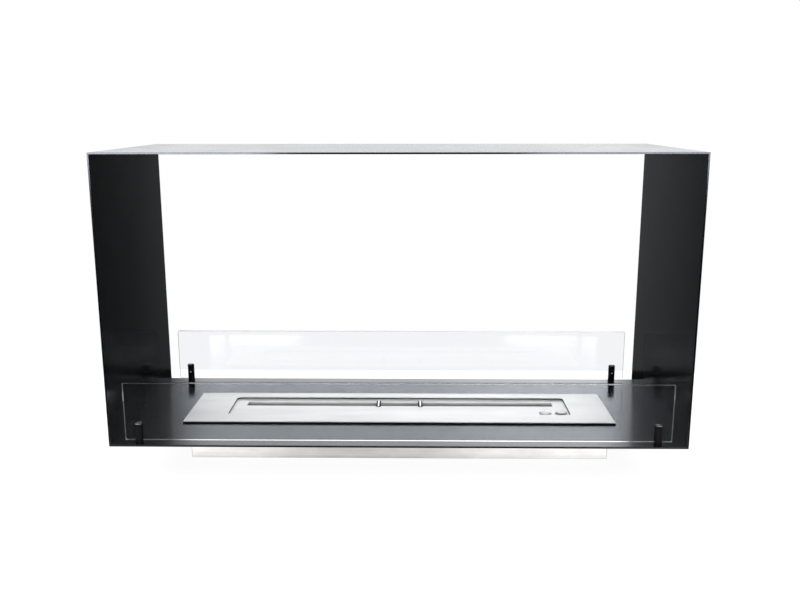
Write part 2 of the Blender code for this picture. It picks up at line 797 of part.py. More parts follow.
def lid_screw(side, end, sign, y):
    """Screw through the housing's end wall into the lid bracket."""
    seat = sign * (HOUSING_END + FIT_GAP)
    height = TRIM_UNDERSIDE - LID_SCREW_DROP
    crown = LID_SCREW_HEAD_HEIGHT
    profile = (
        (0, crown),
        (LID_SCREW_HEAD_RADIUS / 2, crown),
        (LID_SCREW_HEAD_RADIUS, crown / 2),
        (LID_SCREW_HEAD_RADIUS, 0),
        (LID_SCREW_RADIUS, 0),
        (LID_SCREW_RADIUS, -LID_SCREW_LENGTH),
        (0, -LID_SCREW_LENGTH),
    )
    screw = turned(
        f"lid_screw_{side}_{end}",
        profile,
        (seat, y, height),
        POLISHED_STEEL,
        "+X" if sign > 0 else "-X",
        sides=SMALL_SIDES,
    )
    socket = rod(
        f"{side}_{end}_lid_socket",
        LID_SCREW_SOCKET_RADIUS,
        LID_SCREW_SOCKET_DEPTH + OVERRUN,
        (seat + sign * (crown + (OVERRUN - LID_SCREW_SOCKET_DEPTH) / 2), y, height),
        along="+X",
        sides=HEX_SIDES,
    )
    cut(screw, socket)


def flame_trough():
    """The channel under the flame slot, with holes for the igniter, the sensor and the fuel."""
    flange = TROUGH_SHEET + TROUGH_FLANGE
    trough = block(
        "flame_trough",
        around(0, TROUGH_HALF_LENGTH + flange),
        around(SLOT_LINE, TROUGH_HALF_WIDTH + flange),
        (TROUGH_TOP - TROUGH_SHEET, TROUGH_TOP),
        BRUSHED_STEEL,
    )
    channel = block(
        "trough_channel",
        around(0, TROUGH_HALF_LENGTH + TROUGH_SHEET),
        around(SLOT_LINE, TROUGH_HALF_WIDTH + TROUGH_SHEET),
        (TROUGH_TOP - TROUGH_DEPTH, TROUGH_TOP - TROUGH_SHEET / 2),
    )
    hollow = block(
        "trough_hollow",
        around(0, TROUGH_HALF_LENGTH),
        around(SLOT_LINE, TROUGH_HALF_WIDTH),
        (TROUGH_TOP - TROUGH_DEPTH + TROUGH_SHEET, TROUGH_TOP + OVERRUN),
    )
    add(trough, channel)
    cut(trough, hollow)
    holes = (
        ("igniter_port", IGNITER_X, IGNITER_RADIUS, TROUGH_TOP - IGNITER_DROP),
        ("sensor_port", SENSOR_X, SENSOR_RADIUS, TROUGH_TOP - IGNITER_DROP),
        ("delivery_port", PUMP_X, TUBE_RADIUS, pump_axis_height()),
    )
    for name, x, radius, z in holes:
        port = rod(
            name,
            radius + FIT_GAP,
            TROUGH_SHEET + 2 * OVERRUN,
            (x, TROUGH_FRONT + TROUGH_SHEET / 2, z),
            along="+Y",
            sides=SMALL_SIDES,
        )
        cut(trough, port)


def wick_pad():
    """The ceramic fibre that the flame burns from."""
    bottom = TROUGH_TOP - TROUGH_DEPTH + TROUGH_SHEET + FIT_GAP
    wick = block(
        "wick_pad",
        around(0, SLOT_LENGTH / 2),
        around(SLOT_LINE, TROUGH_HALF_WIDTH - WICK_SIDE_ROOM),
        (bottom, bottom + WICK_HEIGHT),
        PALE_CERAMIC,
    )
    break_edges(wick, WICK_EDGE_BREAK)


def fuel_tank():
    """The tub of the fuel tank, on the housing's floor."""
    seam = TANK_TOP - TANK_SHEET - FIT_GAP
    x_span = (TANK_LEFT, TANK_RIGHT)
    tub = block("fuel_tank", x_span, around(0, TANK_SIDE), (TANK_BOTTOM, seam), BRUSHED_STEEL)
    hollow = block(
        "tank_hollow",
        (TANK_LEFT + TANK_SHEET, TANK_RIGHT - TANK_SHEET),
        around(0, TANK_SIDE - TANK_SHEET),
        (TANK_BOTTOM + TANK_SHEET, seam + OVERRUN),
    )
    cut(tub, hollow)


def tank_roof():
    """The tank's welded roof, with openings for the filler, the level sensor and the suction tube."""
    roof = block(
        "tank_roof",
        (TANK_LEFT, TANK_RIGHT),
        around(0, TANK_SIDE),
        (TANK_TOP - TANK_SHEET, TANK_TOP),
        BRUSHED_STEEL,
    )
    holes = (
        ("tank_filler_hole", FILLER_X, CONTROL_Y, BARREL_RADIUS + FIT_GAP),
        ("tank_level_hole", LEVEL_X, LEVEL_Y, FLOAT_RADIUS + FIT_GAP),
        ("tank_suction_hole", PUMP_X, PUMP_Y, TUBE_RADIUS + FIT_GAP),
    )
    for name, x, y, radius in holes:
        cut(roof, rod(name, radius, TANK_SHEET + OVERRUN, (x, y, TANK_TOP)))


def panel_nut(name, x):
    """Nut that clamps a barrel under the well's floor."""
    top = WELL_BOTTOM - FIT_GAP
    profile = (
        (BARREL_RADIUS + FIT_GAP, 0),
        (PANEL_NUT_RADIUS, 0),
        (PANEL_NUT_RADIUS, -PANEL_NUT_HEIGHT),
        (BARREL_RADIUS + FIT_GAP, -PANEL_NUT_HEIGHT),
    )
    turned(name, profile, (x, CONTROL_Y, top), BRUSHED_STEEL, closed=True)


def button_floor():
    """Height of the floor inside the button's barrel."""
    return WELL_FLOOR - BUTTON_BARREL + BUTTON_BARREL_FLOOR


def button_body():
    """The push button's barrel, with its bezel on the well's floor."""
    bore = BUTTON_RADIUS + FIT_GAP
    top = BEZEL_HEIGHT + FIT_GAP
    profile = (
        (0, BUTTON_BARREL_FLOOR - BUTTON_BARREL),
        (bore, BUTTON_BARREL_FLOOR - BUTTON_BARREL),
        (bore, top),
        (BEZEL_RADIUS - BEZEL_HEIGHT / 3, top),
        (BEZEL_RADIUS, top - BEZEL_HEIGHT / 3),
        (BEZEL_RADIUS, FIT_GAP),
        (BARREL_RADIUS, FIT_GAP),
        (BARREL_RADIUS, -BUTTON_BARREL),
        (0, -BUTTON_BARREL),
    )
    turned("button_body", profile, (BUTTON_X, CONTROL_Y, WELL_FLOOR), POLISHED_STEEL)


def push_button():
    """The sprung plunger, with a ring turned into its face."""
    top = WELL_FLOOR + FIT_GAP + BEZEL_HEIGHT + BUTTON_PROUD
    ring_inner = BUTTON_RING_RADIUS - BUTTON_RING_WIDTH / 2
    ring_outer = BUTTON_RING_RADIUS + BUTTON_RING_WIDTH / 2
    profile = (
        (0, 0),
        (ring_inner, 0),
        (ring_inner, -BUTTON_RING_DEPTH),
        (ring_outer, -BUTTON_RING_DEPTH),
        (ring_outer, 0),
        (BUTTON_RADIUS, 0),
        (BUTTON_RADIUS, -BUTTON_HEIGHT),
        (0, -BUTTON_HEIGHT),
    )
    turned("push_button", profile, (BUTTON_X, CONTROL_Y, top), POLISHED_STEEL)


def button_spring():
    """The coil spring under the plunger."""
    low = button_floor() + FIT_GAP + SPRING_WIRE_RADIUS
    plunger_base = WELL_FLOOR + FIT_GAP + BEZEL_HEIGHT + BUTTON_PROUD - BUTTON_HEIGHT
    rise = plunger_base - FIT_GAP - SPRING_WIRE_RADIUS - low
    count = SPRING_TURNS * SPRING_TURN_POINTS
    curve = bpy.data.curves.new("button_spring", "CURVE")
    curve.dimensions = "3D"
    curve.bevel_depth = SPRING_WIRE_RADIUS
    curve.bevel_resolution = 1
    curve.use_fill_caps = True
    line = curve.splines.new("POLY")
    line.points.add(count)
    for index in range(count + 1):
        angle = 2 * math.pi * index / SPRING_TURN_POINTS
        x = SPRING_RADIUS * math.cos(angle)
        y = SPRING_RADIUS * math.sin(angle)
        line.points[index].co = (x, y, rise * index / count, 1)
    place("button_spring", curve, (BUTTON_X, CONTROL_Y, low), POLISHED_STEEL)
    least = rise / SPRING_TURNS - 2 * SPRING_WIRE_RADIUS
    print(f"button spring: least gap between turns {least * 1000:.2f} mm")


def filler_neck():
    """The filler tube from the well's floor down into the tank."""
    top = FIT_GAP + FILLER_FLANGE_HEIGHT
    bottom = TANK_TOP - FILLER_TANK_REACH - WELL_FLOOR
    profile = (
        (FILLER_BORE_RADIUS, top),
        (BEZEL_RADIUS, top),
        (BEZEL_RADIUS, FIT_GAP),
        (BARREL_RADIUS, FIT_GAP),
        (BARREL_RADIUS, bottom),
        (FILLER_BORE_RADIUS, bottom),
    )
    place_at = (FILLER_X, CONTROL_Y, WELL_FLOOR)
    turned("filler_neck", profile, place_at, BRUSHED_STEEL, closed=True)


def seal_base():
    """Height of the cap seal's underside."""
    return WELL_FLOOR + FIT_GAP + FILLER_FLANGE_HEIGHT + FIT_GAP


def cap_seal():
    """The rubber ring between the filler's flange and its cap."""
    profile = (
        (CAP_PLUG_RADIUS + FIT_GAP, SEAL_HEIGHT),
        (SEAL_OUTER_RADIUS, SEAL_HEIGHT),
        (SEAL_OUTER_RADIUS, 0),
        (CAP_PLUG_RADIUS + FIT_GAP, 0),
    )
    turned(
        "cap_seal", profile, (FILLER_X, CONTROL_Y, seal_base()), BLACK_RUBBER, closed=True
    )


def filler_cap():
    """The cap that plugs the filler, with a groove across its face."""
    base = seal_base() + SEAL_HEIGHT + FIT_GAP
    profile = (
        (0, CAP_HEIGHT),
        (CAP_RADIUS - CAP_HEIGHT / 4, CAP_HEIGHT),
        (CAP_RADIUS, CAP_HEIGHT * 3 / 4),
        (CAP_RADIUS, 0),
        (CAP_PLUG_RADIUS, 0),
        (CAP_PLUG_RADIUS, -CAP_PLUG_LENGTH),
        (0, -CAP_PLUG_LENGTH),
    )
    cap = turned("filler_cap", profile, (FILLER_X, CONTROL_Y, base), POLISHED_STEEL)
    groove = block(
        "cap_groove",
        around(FILLER_X, CAP_GROOVE_LENGTH / 2),
        around(CONTROL_Y, CAP_GROOVE_WIDTH / 2),
        (base + CAP_HEIGHT - CAP_GROOVE_DEPTH, base + CAP_HEIGHT + OVERRUN),
    )
    groove.rotation_euler.z = CAP_GROOVE_TURN
    cut(cap, groove)


def level_stop_top():
    """Height of the stop that the float rests on."""
    return TANK_BOTTOM + TANK_SHEET + LEVEL_STOP_ROOM + LEVEL_STOP_HEIGHT


def level_stem():
    """The level sensor's flange on the tank's roof, with its stem and stop in the tank."""
    seat = TANK_TOP + FIT_GAP
    stop_top = level_stop_top() - seat
    profile = (
        (0, LEVEL_FLANGE_HEIGHT),
        (LEVEL_FLANGE_RADIUS, LEVEL_FLANGE_HEIGHT),
        (LEVEL_FLANGE_RADIUS, 0),
        (LEVEL_STEM_RADIUS, 0),
        (LEVEL_STEM_RADIUS, stop_top),
        (LEVEL_STOP_RADIUS, stop_top),
        (LEVEL_STOP_RADIUS, stop_top - LEVEL_STOP_HEIGHT),
        (0, stop_top - LEVEL_STOP_HEIGHT),
    )
    turned(
        "level_stem", profile, (LEVEL_X, LEVEL_Y, seat), BRUSHED_STEEL, sides=SMALL_SIDES
    )


def level_float():
    """The float that slides on the stem with the fuel."""
    bore = LEVEL_STEM_RADIUS + FLOAT_BORE_ROOM
    profile = (
        (bore, FLOAT_HEIGHT),
        (FLOAT_RADIUS, FLOAT_HEIGHT),
        (FLOAT_RADIUS, 0),
        (bore, 0),
    )
    base = level_stop_top() + FIT_GAP
    turned("level_float", profile, (LEVEL_X, LEVEL_Y, base), WHITE_PLASTIC, closed=True)


def igniter():
    """The ceramic igniter rod, its tip over the wick."""
    seat = TROUGH_FRONT - FIT_GAP - HOLDER_SHEET - FIT_GAP
    tip = TROUGH_FRONT + TROUGH_SHEET + IGNITER_REACH - seat
    profile = (
        (0, tip),
        (IGNITER_RADIUS, tip),
        (IGNITER_RADIUS, 0),
        (IGNITER_BODY_RADIUS, 0),
        (IGNITER_BODY_RADIUS, -IGNITER_BODY_LENGTH),
        (0, -IGNITER_BODY_LENGTH),
    )
    base = (IGNITER_X, seat, TROUGH_TOP - IGNITER_DROP)
    turned("igniter", profile, base, PALE_CERAMIC, "+Y", sides=SMALL_SIDES)


def flame_sensor():
    """The thermocouple beside the igniter."""
    seat = TROUGH_FRONT - FIT_GAP - HOLDER_SHEET - FIT_GAP
    tip = TROUGH_FRONT + TROUGH_SHEET + SENSOR_REACH - seat
    profile = (
        (0, tip),
        (SENSOR_RADIUS, tip),
        (SENSOR_RADIUS, 0),
        (SENSOR_BODY_RADIUS, 0),
        (SENSOR_BODY_RADIUS, -SENSOR_BODY_LENGTH),
        (0, -SENSOR_BODY_LENGTH),
    )
    base = (SENSOR_X, seat, TROUGH_TOP - IGNITER_DROP)
    turned("flame_sensor", profile, base, POLISHED_STEEL, "+Y", sides=SMALL_SIDES)


def sensor_holder():
    """The plate on the trough's front wall that carries the igniter and the sensor."""
    axis = TROUGH_TOP - IGNITER_DROP
    low = min(IGNITER_X, SENSOR_X) - HOLDER_SIDE_ROOM
    high = max(IGNITER_X, SENSOR_X) + HOLDER_SIDE_ROOM
    rear = TROUGH_FRONT - FIT_GAP
    top = TROUGH_TOP - TROUGH_SHEET - FIT_GAP
    plate = block(
        "sensor_holder", (low, high), (rear - HOLDER_SHEET, rear), (top - HOLDER_HEIGHT, top), BRUSHED_STEEL
    )
    for name, x, radius in (("igniter", IGNITER_X, IGNITER_RADIUS), ("sensor", SENSOR_X, SENSOR_RADIUS)):
        hole = rod(
            f"{name}_holder_hole",
            radius + FIT_GAP,
            HOLDER_SHEET + 2 * OVERRUN,
            (x, rear - HOLDER_SHEET / 2, axis),
            along="+Y",
            sides=SMALL_SIDES,
        )
        cut(plate, hole)


def pump_axis_height():
    """Height of the pump's middle, with its head on the tank."""
    return TANK_TOP + FIT_GAP + PUMP_HEAD_SIZE / 2


def pump_head():
    """The pump's head block on the tank."""
    head = block(
        "pump_head",
        around(PUMP_X, PUMP_HEAD_SIZE / 2),
        around(PUMP_Y, PUMP_HEAD_SIZE / 2),
        around(pump_axis_height(), PUMP_HEAD_SIZE / 2),
        BLACK_PLASTIC,
    )
    break_edges(head, PUMP_HEAD_BREAK)


def pump_motor():
    """The pump's motor, on the left of its head."""
    length = PUMP_MOTOR_LENGTH
    profile = (
        (0, length),
        (PUMP_MOTOR_NOSE_RADIUS, length),
        (PUMP_MOTOR_NOSE_RADIUS, length - PUMP_MOTOR_SHOULDER),
        (PUMP_MOTOR_RADIUS, length - PUMP_MOTOR_SHOULDER),
        (PUMP_MOTOR_RADIUS, 0),
        (0, 0),
    )
    base = (PUMP_X - PUMP_HEAD_SIZE / 2 - FIT_GAP, PUMP_Y, pump_axis_height())
    turned("pump_motor", profile, base, POLISHED_STEEL, "-X")


def tube(name, base, length, along):
    """A straight fuel tube with its bore."""
    profile = (
        (TUBE_BORE_RADIUS, length),
        (TUBE_RADIUS, length),
        (TUBE_RADIUS, 0),
        (TUBE_BORE_RADIUS, 0),
    )
    turned(name, profile, base, POLISHED_STEEL, along, closed=True, sides=SMALL_SIDES)


def fuel_tubes():
    """The suction tube into the tank and the delivery tube into the trough."""
    suction_end = TANK_BOTTOM + TANK_SHEET + SUCTION_FLOOR_ROOM
    tube("suction_tube", (PUMP_X, PUMP_Y, TANK_TOP), TANK_TOP - suction_end, "-Z")
    start = PUMP_Y + PUMP_HEAD_SIZE / 2 + FIT_GAP
    end = TROUGH_FRONT + TROUGH_SHEET + DELIVERY_REACH
    tube("delivery_tube", (PUMP_X, start, pump_axis_height()), end - start, "+Y")


def control_unit():
    """The control unit's box on the tank."""
    base = TANK_TOP + FIT_GAP
    unit = block(
        "control_unit",
        around(CONTROL_UNIT_X, CONTROL_UNIT_LENGTH / 2),
        around(CONTROL_UNIT_Y, CONTROL_UNIT_WIDTH / 2),
        (base, base + CONTROL_UNIT_HEIGHT),
        BLACK_PLASTIC,
    )
    break_edges(unit, CONTROL_UNIT_BREAK, 2)


def power_inlet():
    """The round power socket in the housing's right end."""
    top = INLET_FLANGE_HEIGHT
    profile = (
        (0, top - INLET_BORE_DEPTH),
        (INLET_BORE_RADIUS, top - INLET_BORE_DEPTH),
        (INLET_BORE_RADIUS, top),
        (INLET_FLANGE_RADIUS, top),
        (INLET_FLANGE_RADIUS, 0),
        (INLET_RADIUS, 0),
        (INLET_RADIUS, -INLET_LENGTH),
        (0, -INLET_LENGTH),
    )
    base = (HOUSING_END + FIT_GAP, 0, TRIM_UNDERSIDE - INLET_DROP)
    turned("power_inlet", profile, base, BLACK_PLASTIC, "+X")


def inlet_nut():
    """Nut that holds the power inlet inside the housing's end wall."""
    profile = (
        (INLET_RADIUS + FIT_GAP, 0),
        (INLET_NUT_RADIUS, 0),
        (INLET_NUT_RADIUS, -INLET_NUT_HEIGHT),
        (INLET_RADIUS + FIT_GAP, -INLET_NUT_HEIGHT),
    )
    base = (HOUSING_END - HOUSING_SHEET - FIT_GAP, 0, TRIM_UNDERSIDE - INLET_DROP)
    turned("inlet_nut", profile, base, BRUSHED_STEEL, "+X", closed=True)


def build_casing():
    """The four sheets of the casing."""
    floor_panel()
    side_panel("left_side_panel", -1)
    side_panel("right_side_panel", 1)
    top_panel()


def build_glass():
    """Both screens with their posts and screws."""
    glass_screen("front_glass", -GLASS_LINE)
    glass_screen("rear_glass", GLASS_LINE)
    for corner, x, y, inward in post_corners():
        glass_post(corner, x, y, inward)
        post_screw(corner, x, y)
        clamp_screw(corner, x, y, inward)


def build_burner():
    """The burner that lifts out of the casing's floor."""
    burner_trim_plate()
    well_frame()
    burner_well()
    slot_bridge("slot_bridge_left", -BRIDGE_SPACING / 2)
    slot_bridge("slot_bridge_right", BRIDGE_SPACING / 2)
    housing_channel()
    for side, sign in (("left", -1), ("right", 1)):
        housing_end(side, sign)
        lid_bracket(side, sign)
        lid_screw(side, "front", sign, -LID_SCREW_SPACING / 2)
        lid_screw(side, "rear", sign, LID_SCREW_SPACING / 2)
    flame_trough()
    wick_pad()
    fuel_tank()
    tank_roof()
    sensor_holder()
    igniter()
    flame_sensor()
    pump_head()
    pump_motor()
    fuel_tubes()
    control_unit()
    power_inlet()
    inlet_nut()


def build_controls():
    """The push button, the filler and the level sensor."""
    panel_nut("button_nut", BUTTON_X)
    panel_nut("filler_nut", FILLER_X)
    button_body()
    push_button()
    button_spring()
    filler_neck()
    cap_seal()
    filler_cap()
    level_stem()
    level_float()


def main():
    clear_scene()
    build_casing()
    build_glass()
    build_burner()
    build_controls()


main()
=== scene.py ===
"""See-through fireplace insert: a black sheet-steel casing with low glass screens and a ribbon burner.

Laid out as a Blender add-on and run as a script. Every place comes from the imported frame, in metres.
"""

import math

import bmesh
import bpy
from mathutils import Matrix, Vector


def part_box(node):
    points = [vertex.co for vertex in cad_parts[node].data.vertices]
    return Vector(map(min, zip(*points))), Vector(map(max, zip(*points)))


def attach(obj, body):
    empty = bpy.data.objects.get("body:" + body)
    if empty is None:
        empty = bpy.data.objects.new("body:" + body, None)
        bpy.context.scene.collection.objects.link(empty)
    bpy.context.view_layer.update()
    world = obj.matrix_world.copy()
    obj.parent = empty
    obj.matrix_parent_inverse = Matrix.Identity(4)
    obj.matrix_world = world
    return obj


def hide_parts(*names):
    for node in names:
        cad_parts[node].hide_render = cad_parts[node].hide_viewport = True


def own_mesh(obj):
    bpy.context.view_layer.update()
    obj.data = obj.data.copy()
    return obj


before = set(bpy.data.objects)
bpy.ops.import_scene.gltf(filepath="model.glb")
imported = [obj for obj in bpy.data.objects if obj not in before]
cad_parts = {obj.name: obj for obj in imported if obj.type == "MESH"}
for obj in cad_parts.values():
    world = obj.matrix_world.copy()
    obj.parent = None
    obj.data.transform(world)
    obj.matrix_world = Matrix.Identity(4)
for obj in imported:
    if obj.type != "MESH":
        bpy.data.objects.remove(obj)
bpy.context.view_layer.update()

bl_info = {
    "name": "See-through fireplace",
    "version": (1, 0, 0),
    "blender": (4, 5, 0),
    "location": "View3D > Sidebar > Fireplace",
    "description": "Builds a see-through fireplace insert with its ribbon burner",
    "category": "Object",
}

MM = 0.001
HALF_TURN = math.pi
QUARTER_TURN = math.pi / 2
CORNER_STEPS = 6
BEND_STEPS = 4
TURNED_SIDES = 96
SMALL_SIDES = 48
HEX_SIDES = 6
OVERRUN = 1 * MM
MERGE = 0.001 * MM
SHARP = math.radians(32)
# The least share of its normal along an axis that makes a face count as flat across it
FLAT = 0.95
WHITE = (1.0, 1.0, 1.0, 1.0)


def linear(code):
    """A #rrggbb colour, in sRGB, as linear red, green and blue."""
    shares = [int(code[start:start + 2], 16) / 255 for start in (1, 3, 5)]
    return tuple(s / 12.92 if s <= 0.04045 else ((s + 0.055) / 1.055) ** 2.4 for s in shares)


def opaque(tone):
    """A #rrggbb code or a linear colour, as a colour socket takes it."""
    return (*(linear(tone) if isinstance(tone, str) else tone), 1.0)


def per_metre(millimetres):
    """The scale of a pattern whose features are this many millimetres apart."""
    return 1 / (millimetres * MM)


def corners(node):
    """A CAD node's lowest corner, its highest corner and the middle between them."""
    low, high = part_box(node)
    return low, high, (low + high) / 2


# Places that the frame gives
FLOOR_LOW, FLOOR_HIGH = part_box("floor_panel")
TOP_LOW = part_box("top_panel")[0]
LEFT_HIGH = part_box("left_side_panel")[1]
TRIM_LOW, TRIM_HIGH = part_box("burner_trim_plate")
FRAME_LOW, FRAME_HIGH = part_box("well_frame")
WELL_LOW, WELL_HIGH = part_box("burner_well")
CHANNEL_LOW, CHANNEL_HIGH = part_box("housing_channel")
POST_LOW, POST_HIGH, POST_MIDDLE = corners("glass_post_rear_right")
WICK_LOW, WICK_HIGH, WICK_MIDDLE = corners("wick_pad")
CORNERS = ("front_left", "front_right", "rear_left", "rear_right")
# An outline is a rounded rectangle's half length, front, rear and corner radius
TRIM_OUTLINE = (TRIM_HIGH.x, TRIM_LOW.y, TRIM_HIGH.y, 1.5 * MM)


# ---- settings


def length_setting(name, description, millimetres, least=0.0):
    """A length, given in mm."""
    return bpy.props.FloatProperty(
        name=name, description=description, default=millimetres * MM, min=least * MM, unit="LENGTH"
    )


def number_setting(name, description, default, least=0.0):
    """A number without a unit."""
    return bpy.props.FloatProperty(name=name, description=description, default=default, min=least)


def angle_setting(name, description, degrees):
    """An angle, given in degrees."""
    return bpy.props.FloatProperty(
        name=name, description=description, default=math.radians(degrees), unit="ROTATION"
    )


def colour_setting(name, description, code):
    """A colour, given as #rrggbb."""
    return bpy.props.FloatVectorProperty(
        name=name, description=description, subtype="COLOR", default=linear(code), min=0, max=1
    )


class CoatSettings(bpy.types.PropertyGroup):
    """Colours and sizes of the black casing."""

    dark: colour_setting("Coat, dark", "Darker tone of the powder coat", "#030405")
    light: colour_setting("Coat, light", "Lighter tone of the powder coat", "#07080a")
    peel: number_setting("Peel spacing", "Distance between the coat's fine waves, in mm", 3.0, 0.5)
    bead: length_setting("Bead radius", "Radius of the weld beads in the inner corners", 1.2, 0.2)
    ripple: length_setting("Bead ripple", "Distance between two ripples of a bead", 2.5, 1)


class GlassSettings(bpy.types.PropertyGroup):
    """Sizes and colours of the panes."""

    corner: length_setting("Corner radius", "Radius of a pane's corners", 2)
    arris: length_setting("Arris", "Width of the ground arris", 0.2)
    tint: colour_setting("Body tint", "Colour of clear float glass", "#f9fcfd")
    edge: colour_setting("Edge", "Colour of the ground edge", "#dfe9e5")


class PostSettings(bpy.types.PropertyGroup):
    """Sizes of the glass posts."""

    chamfer: length_setting("Chamfer", "Rounding of a post's top edge", 0.4)
    slot_room: length_setting("Slot room", "Room between the pane and its slot", 0.3)
    base: length_setting("Base", "Solid metal below the slot", 5)
    hole: length_setting("Clamp hole", "Radius of the clamp screw's hole", 2.3)


class BurnerSettings(bpy.types.PropertyGroup):
    """Sizes and colours of the burner."""

    bend: length_setting("Bend radius", "Outer radius of the trim plate's turned-down rim", 1.2, 0.2)
    edge: length_setting("Edge break", "Rounding of the cut edges", 0.3)
    sheet: length_setting("Trim sheet", "Thickness of the trim plate", 1.5)
    well_sheet: length_setting("Well sheet", "Thickness of the well", 1.2)
    well_corner: length_setting("Well corner", "Corner radius of the well", 8)
    grain: number_setting("Grain", "Distance between the brushed lines, in mm", 0.9, 0.1)
    steel: colour_setting("Steel", "Darker tone of the brushed stainless steel", "#d3d2cf")
    # The bridges' flanks beside the crown are painted dark as a painted reflection of the dark casing
    crown: length_setting(
        "Bridge crown", "Width of a bridge's bright crown, between flanks painted dark as painted reflection", 2.8, 0.5
    )


class StageSettings(bpy.types.PropertyGroup):
    """Camera, floor and light."""

    place: bpy.props.FloatVectorProperty(
        name="Camera", description="Place of the camera", subtype="XYZ", unit="LENGTH",
        default=(0.0261, -1.5965, 0.5656),
    )
    pitch: angle_setting("Pitch", "Downward tilt of the camera", 12.28)
    yaw: angle_setting("Yaw", "Turn of the camera to the right", -0.86)
    roll: angle_setting("Roll", "Clockwise roll of the camera", 0.07)
    lens: number_setting("Lens", "Focal length in mm on a 36 mm sensor", 38.9, 10)
    floor: colour_setting("Floor", "Colour of the plain floor", "#6a6a6a")
    glow: number_setting("Floor glow", "How far the floor is lifted towards white", 0.93)
    front_light: number_setting(
        "Front strip", "Brightness of the floor just in front, as the housing mirrors it", 1.85
    )
    window: number_setting("Window width", "Half width of the bright window behind, as a sine", 0.226)
    window_light: number_setting("Window light", "Brightness of the window behind", 2.2)
    horizon_light: number_setting("Horizon light", "Brightness of the wall behind, low down", 1.1)
    low_light: number_setting("Low light", "Brightness below the horizon behind", 0.19)
    ceiling_light: number_setting("Ceiling light", "Brightness of the ceiling", 1.15)
    lamp: bpy.props.FloatProperty(
        name="Lamp power", description="Power of each bar lamp beside the camera", default=15.0, min=0,
        unit="POWER",
    )


# ---- node trees and materials

# Places of the Mix node's colour sockets, which share their names with its other ones
FACTOR, FIRST, SECOND, MIXED = 0, 6, 7, 2
MATH, MIX, RAMP, NOISE = "ShaderNodeMath", "ShaderNodeMix", "ShaderNodeMapRange", "ShaderNodeTexNoise"


def fill(tree, node, values):
    """Give a node its values, in order, by property (in small letters), input name or input number.

    A value that is a socket, or a node for its first output, is linked.
    """
    for name, value in values.items():
        if isinstance(value, bpy.types.Node):
            value = value.outputs[0]
        if isinstance(value, bpy.types.NodeSocket):
            tree.links.new(value, node.inputs[name])
        elif isinstance(name, str) and name.islower():
            setattr(node, name, value)
        else:
            node.inputs[name].default_value = value


def add_node(tree, kind, values=None):
    """A new node with its values."""
    node = tree.nodes.new(kind)
    fill(tree, node, values or {})
    return node


def plain_material(name):
    """A new material, its tree and its Principled shader."""
    material = bpy.data.materials.new(name)
    material.use_nodes = True
    return material, material.node_tree, material.node_tree.nodes["Principled BSDF"]


def surface(
    name, grain, tones, rough, relief, drift=(110, 110, 110), drift_tone="#e4e4e4", detail=3.0, **constants
):
    """A material, made once, with a fine grain over a slow drift.

    grain and drift are spacings in mm along X, Y and Z. The grain leads tone and roughness from the first to
    the second of each pair and presses relief, a height in mm, into the surface. The drift darkens towards
    its tone. A tone is a #rrggbb code or a linear colour.
    """
    if name in bpy.data.materials:
        return bpy.data.materials[name]
    material, tree, shader = plain_material(name)
    place = add_node(tree, "ShaderNodeTexCoord").outputs["Object"]
    noises, colours = [], []
    for spacing, octaves, dark, light in ((grain, detail, *tones), (drift, 4.0, drift_tone, "#ffffff")):
        scaled = add_node(
            tree, "ShaderNodeMapping", {"Vector": place, "Scale": [per_metre(gap) for gap in spacing]}
        )
        noise = add_node(tree, NOISE, {"Vector": scaled, "Scale": 1.0, "Detail": octaves, "Roughness": 0.6})
        share = add_node(tree, RAMP, {"Value": noise, "From Min": 0.3, "From Max": 0.7})
        mix = add_node(
            tree, MIX, {"data_type": "RGBA", FACTOR: share, FIRST: opaque(dark), SECOND: opaque(light)}
        )
        noises.append(noise)
        colours.append(mix.outputs[MIXED])
    colour = add_node(
        tree, MIX,
        {"data_type": "RGBA", "blend_type": "MULTIPLY", FACTOR: 1.0, FIRST: colours[0], SECOND: colours[1]},
    )
    both = add_node(tree, MATH, {"operation": "ADD", 0: noises[0], 1: noises[1]})
    gloss = add_node(
        tree, RAMP, {"Value": both, "From Min": 0.7, "From Max": 1.3, "To Min": rough[0], "To Max": rough[1]}
    )
    bump = add_node(tree, "ShaderNodeBump", {"Height": noises[0], "Distance": relief * MM, "Strength": 1.0})
    fill(tree, shader, {socket.replace("_", " "): value for socket, value in constants.items()})
    fill(tree, shader, {"Base Color": colour.outputs[MIXED], "Roughness": gloss, "Normal": bump})
    return material


def seen_directly(tree):
    """1 for what the camera sees, also through glass, and 0 for what is only mirrored or lit by it."""
    path = add_node(tree, "ShaderNodeLightPath").outputs
    bounces = add_node(tree, MATH, {"operation": "ADD", 0: path["Glossy Depth"], 1: path["Diffuse Depth"]})
    straight = add_node(tree, MATH, {"operation": "LESS_THAN", 0: bounces, 1: 0.5})
    through = add_node(tree, MATH, {"operation": "MULTIPLY", 0: straight, 1: path["Is Transmission Ray"]})
    return add_node(tree, MATH, {"operation": "MAXIMUM", 0: path["Is Camera Ray"], 1: through})


def distance_aside(tree, across, middle):
    """How far a place lies to either side of a middle."""
    shifted = add_node(tree, MATH, {"operation": "SUBTRACT", 0: across, 1: middle})
    return add_node(tree, MATH, {"operation": "ABSOLUTE", 0: shifted})


def smooth_product(tree, product, ramps):
    """A number times smooth ramps, each of a source, the two ends of its range and the values there."""
    for source, low, high, first, last in ramps:
        ramp = add_node(
            tree, RAMP,
            {"interpolation_type": "SMOOTHSTEP", "Value": source, "From Min": low, "From Max": high,
             "To Min": first, "To Max": last},
        )
        product = add_node(tree, MATH, {"operation": "MULTIPLY", 0: product, 1: ramp})
    return product


# The real finishes' hairlines, lathe rings and blasted, rubbed or eroded grain are 0.05 to 0.3 mm apart.
# That is too fine to show in the render, so they are drawn 0.5 to 2 mm apart.


